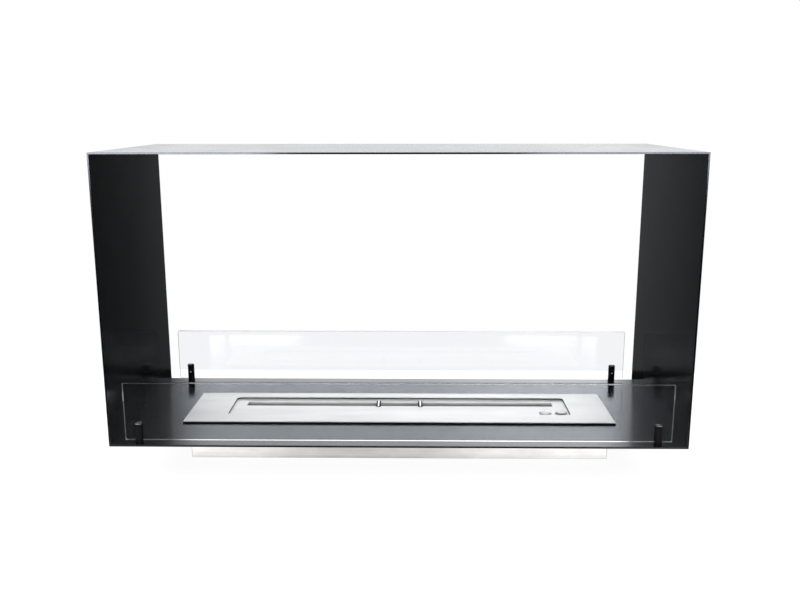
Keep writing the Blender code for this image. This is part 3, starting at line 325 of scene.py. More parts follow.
def powder_coat(name, coat, tones, rough):
    """Black polyester powder coat on steel: fine orange peel and a grey sheen at low angles."""
    return surface(
        name, (coat.peel,) * 3, tones, rough, 0.003,
        drift_tone="#c8c8c8", IOR=1.5, Specular_Tint=opaque("#e4eefb"),
    )


def black_anodising():
    """Black anodised turned aluminium: satin, with fine rings left by the lathe."""
    return surface(
        "black anodised aluminium", (30, 30, 0.5), ("#050506", "#0a0a0b"), (0.38, 0.5), 0.01,
        drift=(20, 20, 20), IOR=1.45, Specular_IOR_Level=0.2,
    )


def post_top_painted_highlight():
    """The posts' tops: a painted highlight in light grey, satin, on the faces that look up towards the light.
    """
    return surface(
        "black anodised aluminium with painted highlight", (0.6, 4, 4), ("#8c8c8f", "#bcbcbe"), (0.4, 0.55), 0.01,
        drift=(5, 5, 5), drift_tone="#a0a0a0", Metallic=0.2, IOR=1.5,
    )


def clear_float_glass(glass):
    """Clear float glass: water-clear, with a faint waviness and a few specks of dust that dull it."""
    material, tree, shader = plain_material("clear float glass")
    place = add_node(tree, "ShaderNodeTexCoord").outputs["Object"]
    wave = add_node(tree, NOISE, {"Vector": place, "Scale": 7.0, "Detail": 1.0})
    dust = add_node(tree, NOISE, {"Vector": place, "Scale": per_metre(3), "Detail": 3.0})
    speck = add_node(
        tree, RAMP, {"Value": dust, "From Min": 0.66, "From Max": 0.8, "To Min": 0.0, "To Max": 0.04}
    )
    tint = add_node(
        tree, MIX, {"data_type": "RGBA", FACTOR: wave, FIRST: opaque(glass.tint), SECOND: opaque("#fafbff")}
    )
    bump = add_node(tree, "ShaderNodeBump", {"Height": wave, "Distance": 0.2 * MM, "Strength": 0.03})
    fill(tree, shader, {
        "Transmission Weight": 1.0, "IOR": 1.45, "Base Color": tint.outputs[MIXED], "Roughness": speck,
        "Normal": bump,
    })
    return material


def ground_glass(glass):
    """Ground arris of float glass: frosted by the wheel, a pale line round the polished edge."""
    return surface(
        "ground glass edge", (6, 1.2, 6), (glass.edge, "#f1f8f6"), (0.45, 0.6), 0.02, drift=(60, 60, 60),
        Transmission_Weight=0.85, IOR=1.45,
    )


def brushed_stainless(burner):
    """Stainless steel brushed along its length: long hairlines that smear what it mirrors across them."""
    return surface(
        "brushed stainless steel", (160, burner.grain, burner.grain), (burner.steel, "#e2e1de"), (0.46, 0.56),
        0.04, drift=(300, 60, 60), drift_tone="#e6e6e4", Metallic=0.85,
    )


def rear_lip_painted_highlight():
    """The slot's rear lip where the lamps light it: pale and matt as a painted highlight, and it scatters the
    light.
    """
    return surface(
        "stainless steel with painted highlight", (4, 1.5, 1.5), ("#dddbd8", "#f0eeeb"), (0.55, 0.7), 0.01,
        drift=(60, 20, 20), drift_tone="#dcd8d2", Metallic=0.3,
    )


def bridge_flank_painted_reflection():
    """Stainless steel on the bridges' flanks, painted dark blue-grey as a painted reflection of the dark
    casing, duller than the polished crown.
    """
    return surface(
        "stainless steel with painted dark reflection", (2, 2, 2), ("#1d1d20", "#34343a"), (0.4, 0.55), 0.01,
        drift=(6, 6, 6), drift_tone="#8f8a86", Metallic=1.0,
    )


def mill_stainless():
    """Cold-rolled stainless sheet with a mill finish: soft matte grey, faint rolling and handling marks."""
    return surface(
        "cold-rolled stainless steel", (200, 2, 2), ("#d9d8d6", "#e9e8e6"), (0.4, 0.5), 0.02,
        drift=(90, 40, 40), drift_tone="#e2e2e0", Metallic=0.75,
    )


def polished_stainless():
    """Polished turned stainless steel: bright, with hairline rings."""
    return surface(
        "polished stainless steel", (2, 2, 0.6), ("#d6d5d2", "#eae9e6"), (0.14, 0.24), 0.004,
        drift=(9, 9, 9), Metallic=1.0,
    )


def satin_stainless():
    """Bead-blasted stainless steel: soft even grey that scatters the light, so its flanks stay pale."""
    return surface(
        "bead-blasted stainless steel", (1.2,) * 3, ("#dddcd9", "#ecebe8"), (0.45, 0.55), 0.006,
        drift=(9, 9, 9), Metallic=0.45,
    )


def ceramic_fibre_painted_shade():
    """Pressed ceramic fibre: chalky and matted, painted dark grey all over as painted shade deep in the slot.
    """
    return surface(
        "ceramic fibre board with painted shade", (6, 1.4, 2), ("#57534e", "#77736d"), (0.9, 1.0), 0.5,
        drift=(25, 18, 18), drift_tone="#7f7a74", detail=6.0, IOR=1.4,
    )


def igniter_ceramic():
    """Sintered alumina: off-white, dense and matte, with a faint mottle."""
    return surface("sintered alumina", (2.5,) * 3, ("#d9d3c6", "#efebe2"), (0.5, 0.7), 0.02, IOR=1.6)


def glass_filled_nylon():
    """Moulded glass-filled nylon: black with a fine spark-eroded grain."""
    return surface("black glass-filled nylon", (0.8,) * 3, ("#111112", "#1c1c1d"), (0.45, 0.6), 0.03, IOR=1.5)


def natural_acetal():
    """Turned natural acetal: milky white and waxy."""
    return surface("natural acetal", (0.8,) * 3, ("#d8d8d2", "#e9e9e3"), (0.35, 0.5), 0.01, IOR=1.48)


def nitrile_rubber():
    """Moulded nitrile rubber: dull black with a dusty bloom."""
    return surface("nitrile rubber", (2,) * 3, ("#0b0b0b", "#1b1b1a"), (0.75, 0.9), 0.03, IOR=1.5)


def painted_shadow_black():
    """Flat black strips under the trim plate and round the well: painted shadow, a dark line where the walls
    stand in shade.
    """
    return surface("black of painted shadow", (1.5,) * 3, ("#080808", "#111112"), (0.8, 0.95), 0.02, IOR=1.4)


# ---- shapes


def mesh_object(name, shape, smooth=True):
    """An object in the scene from a bmesh, which is freed."""
    mesh = bpy.data.meshes.new(name)
    shape.to_mesh(mesh)
    shape.free()
    if smooth:
        mesh.shade_smooth()
        mesh.set_sharp_from_angle(angle=SHARP)
    obj = bpy.data.objects.new(name, mesh)
    bpy.context.scene.collection.objects.link(obj)
    return obj


def apply_modifiers(obj):
    """Turn an object's evaluated shape into its plain mesh and drop the modifiers."""
    bpy.context.view_layer.update()
    evaluated = obj.evaluated_get(bpy.context.evaluated_depsgraph_get())
    mesh = bpy.data.meshes.new_from_object(evaluated)
    old = obj.data
    obj.modifiers.clear()
    obj.data = mesh
    bpy.data.meshes.remove(old)
    return obj


def cut_away(obj, tools):
    """Cut the tools out of an object and delete them."""
    for tool in tools:
        step = obj.modifiers.new("cut", "BOOLEAN")
        step.operation = "DIFFERENCE"
        step.solver = "EXACT"
        step.object = tool
    apply_modifiers(obj)
    for tool in tools:
        bpy.data.objects.remove(tool, do_unlink=True)
    obj.data.shade_smooth()
    obj.data.set_sharp_from_angle(angle=SHARP)
    return obj


def even_shading(obj):
    """Keep flat faces flat beside small bends."""
    step = obj.modifiers.new("even shading", "WEIGHTED_NORMAL")
    step.keep_sharp = True
    return apply_modifiers(obj)


def dress(obj, body, materials, nodes=()):
    """Give a finished piece its materials, its body and the CAD nodes that it stands for."""
    if not obj.data.polygons:
        raise RuntimeError(f"{obj.name} has no faces")
    obj.data.materials.clear()
    for material in materials:
        obj.data.materials.append(material)
    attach(obj, body)
    if nodes:
        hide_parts(*nodes)
    return obj


def paint_second(obj, chosen):
    """Give the faces that are chosen an object's second material, and the others its first."""
    for face in obj.data.polygons:
        face.material_index = int(chosen(face))


def finish_nodes(material, nodes):
    """Give CAD nodes that keep their own shape a material."""
    for name in nodes:
        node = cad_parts[name]
        if not node.data.materials:
            node.data.materials.append(material)
        for place in node.material_slots:
            place.material = material


def rounded_ring(shape, x_half, y_low, y_high, radius, z, grow=0.0, grow_x=None):
    """The points of a rounded rectangle at a height, in order, moved outwards by grow."""
    x_half += grow if grow_x is None else grow_x
    y_low, y_high, radius = y_low - grow, y_high + grow, max(radius + grow, MERGE)
    centres = (
        (x_half - radius, y_high - radius, 0.0),
        (radius - x_half, y_high - radius, 0.5),
        (radius - x_half, y_low + radius, 1.0),
        (x_half - radius, y_low + radius, 1.5),
    )
    ring = []
    for x, y, start in centres:
        for step in range(CORNER_STEPS + 1):
            angle = HALF_TURN * (start + 0.5 * step / CORNER_STEPS)
            ring.append(shape.verts.new((x + radius * math.cos(angle), y + radius * math.sin(angle), z)))
    return ring


def lofted(name, levels, capped=False, place=None, smooth=True):
    """An object through levels, each of an outline, its height and how far it grows.

    It is capped at its first and last level, or else closed from the last one to the first.
    """
    shape = bmesh.new()
    rings = [rounded_ring(shape, *outline, *level) for outline, *level in levels]
    pairs = list(zip(rings, rings[1:]))
    if capped:
        for ring in (rings[0], rings[-1]):
            shape.faces.new(ring)
    else:
        pairs.append((rings[-1], rings[0]))
    for lower, upper in pairs:
        for index in range(len(lower)):
            following = (index + 1) % len(lower)
            shape.faces.new((lower[index], lower[following], upper[following], upper[index]))
    bmesh.ops.remove_doubles(shape, verts=shape.verts, dist=MERGE)
    bmesh.ops.recalc_face_normals(shape, faces=shape.faces)
    if place:
        shape.transform(place)
    return mesh_object(name, shape, smooth)


def quarter(start, end, steps=BEND_STEPS):
    """Shares of a quarter round from one angle to the other: (inward, upward) pairs."""
    for step in range(steps + 1):
        angle = start + (end - start) * step / steps
        yield 1 - math.cos(angle), math.sin(angle)


def rounded_edge(radius, top, inset, drop, end=0):
    """The profile of a turned piece's rounded edge, from the inset at its top out to its side."""
    shares = quarter(QUARTER_TURN, end)
    return [(radius - inset * inward, top - drop * (1 - upward)) for inward, upward in shares]


def bend(outline, height, drop, grow, start, end, steps=BEND_STEPS, grow_x=None):
    """Levels of a quarter round that drops from a height while its outline grows."""
    for inward, upward in quarter(start, end, steps):
        along = None if grow_x is None else grow_x * inward
        yield outline, height - drop * (1 - upward), grow * inward, along


def stand(shape, place, along):
    """Turn a shape's upright axis along a direction, if there is one, and move its origin to a place."""
    if along:
        shape.transform(Vector((0, 0, 1)).rotation_difference(Vector(along)).to_matrix().to_4x4())
    shape.transform(Matrix.Translation(place))


def turned_piece(name, profile, place, sides=TURNED_SIDES, along=None):
    """A turned solid from its half profile of radius and height, spun about its axis."""
    shape = bmesh.new()
    points = [shape.verts.new((radius, 0, height)) for radius, height in profile]
    edges = [shape.edges.new(pair) for pair in zip(points, points[1:])]
    bmesh.ops.spin(
        shape, geom=points + edges, cent=(0, 0, 0), axis=(0, 0, 1), angle=2 * HALF_TURN, steps=sides,
        use_duplicate=False,
    )
    bmesh.ops.remove_doubles(shape, verts=shape.verts, dist=MERGE)
    bmesh.ops.recalc_face_normals(shape, faces=shape.faces)
    stand(shape, place, along)
    return mesh_object(name, shape)


def prism(name, radius, low, high, sides, place=(0, 0, 0), along=None):
    """A straight prism or rod, used to cut sockets and holes."""
    shape = bmesh.new()
    bmesh.ops.create_cone(
        shape, cap_ends=True, segments=sides, radius1=radius, radius2=radius, depth=high - low,
        matrix=Matrix.Translation((0, 0, (low + high) / 2)),
    )
    stand(shape, place, along)
    return mesh_object(name, shape, smooth=False)


def cuboid(low, high):
    """A plain box between two corners, as a bmesh."""
    shape = bmesh.new()
    bmesh.ops.create_cube(shape, size=1)
    for vertex in shape.verts:
        vertex.co = Vector([l + (h - l) * (c + 0.5) for l, h, c in zip(low, high, vertex.co)])
    return shape


# ---- geometry node trees


def geometry_tree(name, *numbers, **others):
    """A geometry tree with these numbers, others given by kind and a finish as inputs, and their sockets."""
    tree = bpy.data.node_groups.new(name, "GeometryNodeTree")
    for socket, kind in {**dict.fromkeys(numbers, "Float"), **others, "Finish": "Material"}.items():
        tree.interface.new_socket(socket, in_out="INPUT", socket_type=f"NodeSocket{kind}")
    tree.interface.new_socket("Geometry", in_out="OUTPUT", socket_type="NodeSocketGeometry")
    return tree, add_node(tree, "NodeGroupInput").outputs


def geometry_result(name, tree, values):
    """The plain mesh object that a geometry tree makes with these named inputs."""
    obj = bpy.data.objects.new(name, bpy.data.meshes.new(name))
    bpy.context.scene.collection.objects.link(obj)
    step = obj.modifiers.new("tree", "NODES")
    step.node_group = tree
    for item in tree.interface.items_tree:
        if item.in_out == "INPUT" and item.name in values:
            step[item.identifier] = values[item.name]
    return apply_modifiers(obj)


def turned_copies(tree, points, piece, axis, turn):
    """Copies of a piece on points, turned about an axis."""
    euler = add_node(tree, "ShaderNodeCombineXYZ", {axis: turn})
    rotation = add_node(tree, "FunctionNodeEulerToRotation", {0: euler})
    return add_node(
        tree, "GeometryNodeInstanceOnPoints", {"Points": points, "Instance": piece, "Rotation": rotation}
    )


def end_tree(tree, given, shape):
    """End a tree in a plain mesh with the finish that it is given."""
    real = add_node(tree, "GeometryNodeRealizeInstances", {0: shape})
    painted = add_node(tree, "GeometryNodeSetMaterial", {"Geometry": real, "Material": given["Finish"]})
    add_node(tree, "NodeGroupOutput", {0: painted})


def corner_fittings_tree():
    """Copies of a fitting on the corners of a rectangle, turned towards its middle or its ends."""
    tree, given = geometry_tree(
        "corner fittings", "Spacing X", "Spacing Y", "Turn Rear", "Turn Left", Fitting="Object"
    )
    points = add_node(
        tree, "GeometryNodeMeshGrid",
        {"Vertices X": 2, "Vertices Y": 2, "Size X": given["Spacing X"], "Size Y": given["Spacing Y"]},
    )
    position = add_node(tree, "GeometryNodeInputPosition")
    parts = add_node(tree, "ShaderNodeSeparateXYZ", {0: position}).outputs
    turns = []
    for axis, side, turn in (("Y", "GREATER_THAN", "Turn Rear"), ("X", "LESS_THAN", "Turn Left")):
        there = add_node(tree, MATH, {"operation": side, 0: parts[axis], 1: 0.0})
        turns.append(add_node(tree, MATH, {"operation": "MULTIPLY", 0: there, 1: given[turn]}))
    both = add_node(tree, MATH, {"operation": "ADD", 0: turns[0], 1: turns[1]})
    source = add_node(tree, "GeometryNodeObjectInfo", {"Object": given["Fitting"]})
    end_tree(tree, given, turned_copies(tree, points, source.outputs["Geometry"], "Z", both))
    return tree


def corner_pieces(name, fitting, finish, half_x, half_y, turn_rear=0.0, turn_left=0.0):
    """One object of a fitting's copies on the corners of a rectangle. The fitting is deleted."""
    tree = bpy.data.node_groups.get("corner fittings") or corner_fittings_tree()
    pieces = geometry_result(name, tree, {
        "Fitting": fitting, "Spacing X": 2 * half_x, "Spacing Y": 2 * half_y,
        "Turn Rear": turn_rear, "Turn Left": turn_left, "Finish": finish,
    })
    bpy.data.objects.remove(fitting, do_unlink=True)
    return pieces


def coil_tree():
    """A coil of round wire with closed ends, rising along Z."""
    tree, given = geometry_tree("wire coil", "Radius", "Wire", "Rise", "Turns")
    helix = add_node(
        tree, "GeometryNodeCurveSpiral",
        {"Resolution": 20, "Start Radius": given["Radius"], "End Radius": given["Radius"],
         "Height": given["Rise"], "Rotations": given["Turns"]},
    )
    section = add_node(
        tree, "GeometryNodeCurvePrimitiveCircle", {"mode": "RADIUS", "Resolution": 8, "Radius": given["Wire"]}
    )
    wire = add_node(
        tree, "GeometryNodeCurveToMesh", {"Curve": helix, "Profile Curve": section, "Fill Caps": True}
    )
    end_tree(tree, given, wire)
    return tree


def corner_beads_tree():
    """Weld beads along the four inner corners of a box that is open at both ends."""
    tree, given = geometry_tree(
        "corner weld beads", "Width", "Height", "Length", "Radius", "Ripple", "Ripple Height"
    )
    ends = []
    for share in (0.5, -0.5):
        reach = add_node(tree, MATH, {"operation": "MULTIPLY", 0: given["Length"], 1: share})
        ends.append(add_node(tree, "ShaderNodeCombineXYZ", {"Y": reach}))
    rail = add_node(tree, "GeometryNodeCurvePrimitiveLine", {"Start": ends[0], "End": ends[1]})
    points = add_node(
        tree, "GeometryNodeResampleCurve", {"mode": "LENGTH", "Curve": rail, "Length": given["Ripple"]}
    )
    index = add_node(tree, "GeometryNodeInputIndex")
    odd = add_node(tree, MATH, {"operation": "MODULO", 0: index, 1: 2.0})
    swell = add_node(tree, MATH, {"operation": "MULTIPLY_ADD", 0: odd, 1: given["Ripple Height"], 2: 1.0})
    section = add_node(
        tree, "GeometryNodeCurveArc",
        {"mode": "RADIUS", "Resolution": 6, "Radius": given["Radius"], "Start Angle": 0.0,
         "Sweep Angle": QUARTER_TURN, "Connect Center": True},
    )
    bead = add_node(
        tree, "GeometryNodeCurveToMesh",
        {"Curve": points, "Profile Curve": section, "Scale": swell, "Fill Caps": True},
    )
    smooth = add_node(tree, "GeometryNodeSetShadeSmooth", {0: bead, "Shade Smooth": True})
    flat = add_node(
        tree, "GeometryNodeMeshGrid",
        {"Vertices X": 2, "Vertices Y": 2, "Size X": given["Width"], "Size Y": given["Height"]},
    )
    upright = add_node(tree, "GeometryNodeTransform", {"Geometry": flat, "Rotation": (QUARTER_TURN, 0, 0)})
    position = add_node(tree, "GeometryNodeInputPosition")
    parts = add_node(tree, "ShaderNodeSeparateXYZ", {0: position}).outputs
    side, level = (add_node(tree, MATH, {"operation": "SIGN", 0: parts[axis]}) for axis in "XZ")
    bearing = add_node(tree, MATH, {"operation": "ARCTAN2", 0: level, 1: side})
    turn = add_node(tree, MATH, {"operation": "SUBTRACT", 0: -1.5 * QUARTER_TURN, 1: bearing})
    end_tree(tree, given, turned_copies(tree, upright, smooth, "Y", turn))
    return tree


# ---- operators


class FIREPLACE_OT_stage(bpy.types.Operator):
    """Make the camera, the plain floor and the soft light"""

    bl_idname = "fireplace.stage"
    bl_label = "Stage"

    def execute(self, context):
        stage = context.scene.fireplace_stage
        context.scene.view_settings.view_transform = "Standard"
        self.make_camera(context, stage)
        self.make_floor(stage)
        self.make_backdrop(context, stage)
        self.make_lamps(context, stage)
        return {"FINISHED"}

    def make_camera(self, context, stage):
        """The camera at the height and tilt of a standing viewer, in front of the opening."""
        data = bpy.data.cameras.new("camera")
        data.lens = stage.lens
        data.clip_start = 0.01
        camera = bpy.data.objects.new("camera", data)
        camera.location = stage.place
        camera.rotation_euler = (QUARTER_TURN - stage.pitch, stage.roll, -stage.yaw)
        context.scene.collection.objects.link(camera)
        context.scene.camera = camera

    def make_floor(self, stage):
        """A plain pale floor under the housing, dim in what mirrors it but for a bright strip in front."""
        reach, forward, gap = 2, 1.5, 0.5 * MM
        strip_middle = -0.07
        shape = bmesh.new()
        bmesh.ops.create_grid(shape, x_segments=8, y_segments=8, size=reach)
        shape.transform(Matrix.Translation((0, -forward, CHANNEL_LOW.z - gap)))
        floor = mesh_object("studio_floor", shape, smooth=False)
        material, tree, shader = plain_material("pale studio floor")
        place = add_node(tree, "ShaderNodeTexCoord").outputs["Object"]
        speckle = add_node(tree, NOISE, {"Vector": place, "Scale": 30.0})
        tone = add_node(
            tree, MIX,
            {"data_type": "RGBA", FACTOR: speckle, FIRST: opaque(stage.floor), SECOND: opaque("#5e5e5e")},
        )
        direct = seen_directly(tree)
        x, y = add_node(tree, "ShaderNodeSeparateXYZ", {0: place}).outputs[:2]
        strip = smooth_product(tree, stage.front_light, (
            (y, -0.02, -0.12, 0, 1), (y, -0.36, -0.26, 0, 1),
            (distance_aside(tree, x, strip_middle), 0.05, 0.38, 0.5, 1),
        ))
        glow = add_node(tree, RAMP, {"Value": direct, "To Min": strip, "To Max": stage.glow})
        dimmed = add_node(
            tree, MIX,
            {"data_type": "RGBA", FACTOR: direct, FIRST: opaque("#141414"), SECOND: tone.outputs[MIXED]},
        )
        fill(tree, shader, {
            "Base Color": dimmed.outputs[MIXED], "Roughness": 0.9, "Specular IOR Level": 0.0,
            "Emission Color": WHITE, "Emission Strength": glow,
        })
        floor.data.materials.append(material)

    def make_backdrop(self, context, stage):
        """White surroundings. What the object mirrors is a bright window behind it and a bright ceiling."""
        world = bpy.data.worlds.new("white studio")
        context.scene.world = world
        world.use_nodes = True
        tree = world.node_tree
        tree.nodes.clear()
        window_middle, fade = -0.009, 0.035
        way = add_node(tree, "ShaderNodeTexCoord").outputs["Generated"]
        x, y, z = add_node(tree, "ShaderNodeSeparateXYZ", {0: way}).outputs
        aside = distance_aside(tree, x, window_middle)
        behind = (y, 0.1, 0.5, 0.0, 1.0)
        edge = stage.window
        patches = (
            (stage.window_light, behind, (aside, edge, edge + fade, 1.0, 0.0), (z, 0.12, 0.22, 0.0, 1.0),
             (z, 0.27, 0.37, 1.14, 0.95), (x, 0.0, 0.12, 1.0, 1.3), (x, -0.2, -0.05, 0.88, 1.0)),
            (stage.horizon_light, behind, (aside, 0.12, 0.3, 1.0, 1.15), (z, -0.02, 0.03, 0.0, 1.0),
             (z, 0.1, 0.18, 1.0, 0.0)),
            (stage.low_light, behind, (aside, 0.25, 0.34, 1.0, 0.16), (z, 0.0, -0.05, 0.0, 1.0),
             (z, -0.05, -0.3, 1.0, 0.7)),
            (stage.ceiling_light, (z, 0.3, 0.75, 0.0, 1.0), (aside, 0.1, 0.38, 1.0, 3.4)),
        )
        strength = 0.0
        for light, *ramps in patches:
            patch = smooth_product(tree, light, ramps)
            strength = add_node(tree, MATH, {"operation": "MAXIMUM", 0: patch, 1: strength})
        lit = add_node(tree, "ShaderNodeBackground", {"Color": opaque("#fbfcfe"), "Strength": strength})
        seen = add_node(tree, "ShaderNodeBackground", {"Color": WHITE, "Strength": 1.0})
        mix = add_node(tree, "ShaderNodeMixShader", {0: seen_directly(tree), 1: lit, 2: seen})
        add_node(tree, "ShaderNodeOutputWorld", {"Surface": mix})

    def make_lamps(self, context, stage):
        """A low bar lamp on each side of the camera, which the top's front edge mirrors towards its ends."""
        height = 0.25
        for name, place, width, share in (
            ("left bar lamp", (-1.33, -2.3, 0.475), 1.55, 1.8),
            ("right bar lamp", (1.25, -2.3, 0.475), 1.5, 1.25),
        ):
            data = bpy.data.lights.new(name, "AREA")
            data.shape = "RECTANGLE"
            data.size = width
            data.size_y = height
            data.energy = stage.lamp * share
            data.color = linear("#faf8ff")
            lamp = bpy.data.objects.new(name, data)
            lamp.location = place
            lamp.rotation_euler = (QUARTER_TURN, 0, 0)
            context.scene.collection.objects.link(lamp)


class FIREPLACE_OT_casing(bpy.types.Operator):
    """Coat the four sheets of the casing and weld their inner corners"""

    bl_idname = "fireplace.casing"
    bl_label = "Casing"

    def execute(self, context):
        coat = context.scene.fireplace_coat
        satin = powder_coat("satin black powder coat", coat, (coat.dark, coat.light), (0.12, 0.18))
        # The hearth's floor is dulled by wiping: what stands on it is mirrored as a soft smear
        dulled = powder_coat("dulled black powder coat", coat, (coat.light, "#0d0e11"), (0.14, 0.2))
        finish_nodes(satin, ("left_side_panel", "right_side_panel", "top_panel"))
        finish_nodes(dulled, ("floor_panel",))
        setback, swell = 1 * MM, 0.06
        beads = geometry_result("casing_weld_beads", corner_beads_tree(), {
            "Width": -2 * LEFT_HIGH.x, "Height": TOP_LOW.z - FLOOR_HIGH.z,
            "Length": (FLOOR_HIGH.y - FLOOR_LOW.y) - 2 * setback, "Radius": coat.bead,
            "Ripple": coat.ripple, "Ripple Height": swell, "Finish": satin,
        })
        beads.data.transform(Matrix.Translation((0, 0, (TOP_LOW.z + FLOOR_HIGH.z) / 2)))
        dress(beads, "casing", (satin,))
        return {"FINISHED"}


class FIREPLACE_OT_panes(bpy.types.Operator):
    """Make both panes, with ground edges"""

    bl_idname = "fireplace.panes"
    bl_label = "Glass panes"

    def execute(self, context):
        glass = context.scene.fireplace_glass
        materials = (clear_float_glass(glass), ground_glass(glass))
        for node, body in (("front_glass", "front_screen"), ("rear_glass", "rear_screen")):
            pane = dress(self.make_pane(node, glass), body, materials, (node,))
            paint_second(pane, lambda face: 0.2 < abs(face.normal.y) < FLAT)
        return {"FINISHED"}

    def make_pane(self, node, glass):
        """A pane with rounded corners and an arris round both faces."""
        low, high, middle = corners(node)
        outline = ((high.x - low.x) / 2, low.z, high.z, glass.corner)
        thick, arris = (high.y - low.y) / 2, glass.arris
        levels = (
            (outline, -thick, -arris), (outline, arris - thick, 0), (outline, thick - arris, 0),
            (outline, thick, -arris),
        )
        upright = Matrix.Translation((0, middle.y, 0)) @ Matrix.Rotation(QUARTER_TURN, 4, "X")
        return lofted(f"{node}_pane", levels, capped=True, place=upright, smooth=False)


class FIREPLACE_OT_posts(bpy.types.Operator):
    """Make the four slotted posts"""

    bl_idname = "fireplace.posts"
    bl_label = "Glass posts"

    def execute(self, context):
        post = context.scene.fireplace_post
        black = black_anodising()
        fitting = self.make_post(post)
        posts = corner_pieces("glass_posts", fitting, black, *POST_MIDDLE.xy, turn_rear=HALF_TURN)
        nodes = [f"glass_post_{corner}" for corner in CORNERS]
        # The second material, on the upward faces of the posts' tops, is a painted highlight in light grey
        dress(posts, "casing", (black, post_top_painted_highlight()), nodes)
        rim = POST_HIGH.z - post.chamfer
        paint_second(posts, lambda face: face.normal.z > FLAT and face.center.z > rim)
        return {"FINISHED"}

    def make_post(self, post):
        """One front post about its own axis, its clamp hole towards the rear."""
        radius = (POST_HIGH.x - POST_LOW.x) / 2
        top, foot = POST_HIGH.z, POST_LOW.z
        chamfer = post.chamfer
        pane_low, pane_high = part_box("front_glass")
        slot_half = (pane_high.y - pane_low.y) / 2 + post.slot_room
        clamp = corners("clamp_screw_front_left")[2]
        profile = [(0, top), *rounded_edge(radius, top, chamfer, chamfer)]
        profile += [(radius, foot + chamfer / 2), (radius - chamfer / 2, foot), (0, foot)]
        body = turned_piece("post", profile, (0, 0, 0))
        low, high = (-2 * radius, -slot_half, foot + post.base), (2 * radius, slot_half, top + OVERRUN)
        slot = mesh_object("slot", cuboid(low, high), smooth=False)
        hole = prism("hole", post.hole, 0, 2 * radius, SMALL_SIDES, (0, 0, clamp.z), (0, 1, 0))
        return cut_away(body, [slot, hole])


class FIREPLACE_OT_screws(bpy.types.Operator):
    """Make the clamp screws, the post screws and the housing's screws"""

    bl_idname = "fireplace.screws"
    bl_label = "Screws"

    def execute(self, context):
        self.make_clamp_screws(satin_stainless())
        self.make_post_screws(black_anodising())
        self.make_lid_screws(polished_stainless())
        return {"FINISHED"}

    def make_clamp_screws(self, steel):
        """A headless socket screw in each post's inner wall."""
        for corner in CORNERS:
            low, high, middle = corners(f"clamp_screw_{corner}")
            facing = (0, 1 if middle.y < 0 else -1, 0)
            half = (high.y - low.y) / 2
            radius = (high.x - low.x) / 2
            crown, socket, depth = 0.7 * radius, 0.45 * radius, 0.9 * radius
            profile = [(0, half), *rounded_edge(radius, half, radius, crown)]
            profile += [(radius, crown - half), (radius - crown, -half), (0, -half)]
            screw = turned_piece(f"{corner}_clamp_screw", profile, middle, SMALL_SIDES, facing)
            tool = prism("socket", socket, half - depth, half + OVERRUN, HEX_SIDES, middle, facing)
            cut_away(screw, [tool])
            dress(screw, f"clamp_{corner}", (steel,), (f"clamp_screw_{corner}",))

    def make_post_screws(self, black):
        """Countersunk socket screws under the posts."""
        low, high, middle = corners("post_screw_rear_right")
        head, shank, rise, edge = (high.x - low.x) / 2, 2 * MM, 1.8 * MM, 0.15 * MM
        socket, depth = 1.3 * MM, 1.1 * MM
        profile = [(0, high.z), (shank - edge, high.z), (shank, high.z - edge), (shank, low.z + rise)]
        profile += [(head, low.z + edge), (head - edge, low.z), (0, low.z)]
        fitting = turned_piece("screw", profile, (0, 0, 0), SMALL_SIDES)
        cut_away(fitting, [prism("socket", socket, low.z - OVERRUN, low.z + depth, HEX_SIDES)])
        screws = corner_pieces("post_screws", fitting, black, middle.x, middle.y)
        dress(screws, "casing", (black,), [f"post_screw_{corner}" for corner in CORNERS])

    def make_lid_screws(self, steel):
        """Round-headed socket screws in the housing's ends."""
        low, high, middle = corners("lid_screw_right_rear")
        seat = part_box("housing_end_right")[1].x + 0.3 * MM
        head, shank, rise = (high.y - low.y) / 2, 2 * MM, high.x - seat
        socket, depth = 1.2 * MM, 1 * MM
        face, dome, brim = 0.5 * head, 0.75 * rise, 0.15
        profile = [(0, rise), *rounded_edge(head, rise, face, dome, brim)]
        profile += [(head, 0), (shank, 0), (shank, low.x - seat), (0, low.x - seat)]
        place, outwards = (0, 0, middle.z), (1, 0, 0)
        fitting = turned_piece("screw", profile, place, SMALL_SIDES, outwards)
        cut_away(fitting, [prism("socket", socket, rise - depth, rise + OVERRUN, HEX_SIDES, place, outwards)])
        screws = corner_pieces("lid_screws", fitting, steel, seat, middle.y, turn_left=HALF_TURN)
        nodes = [f"lid_screw_{side}_{end}" for side in ("left", "right") for end in ("front", "rear")]
        dress(screws, "burner", (steel,), nodes)


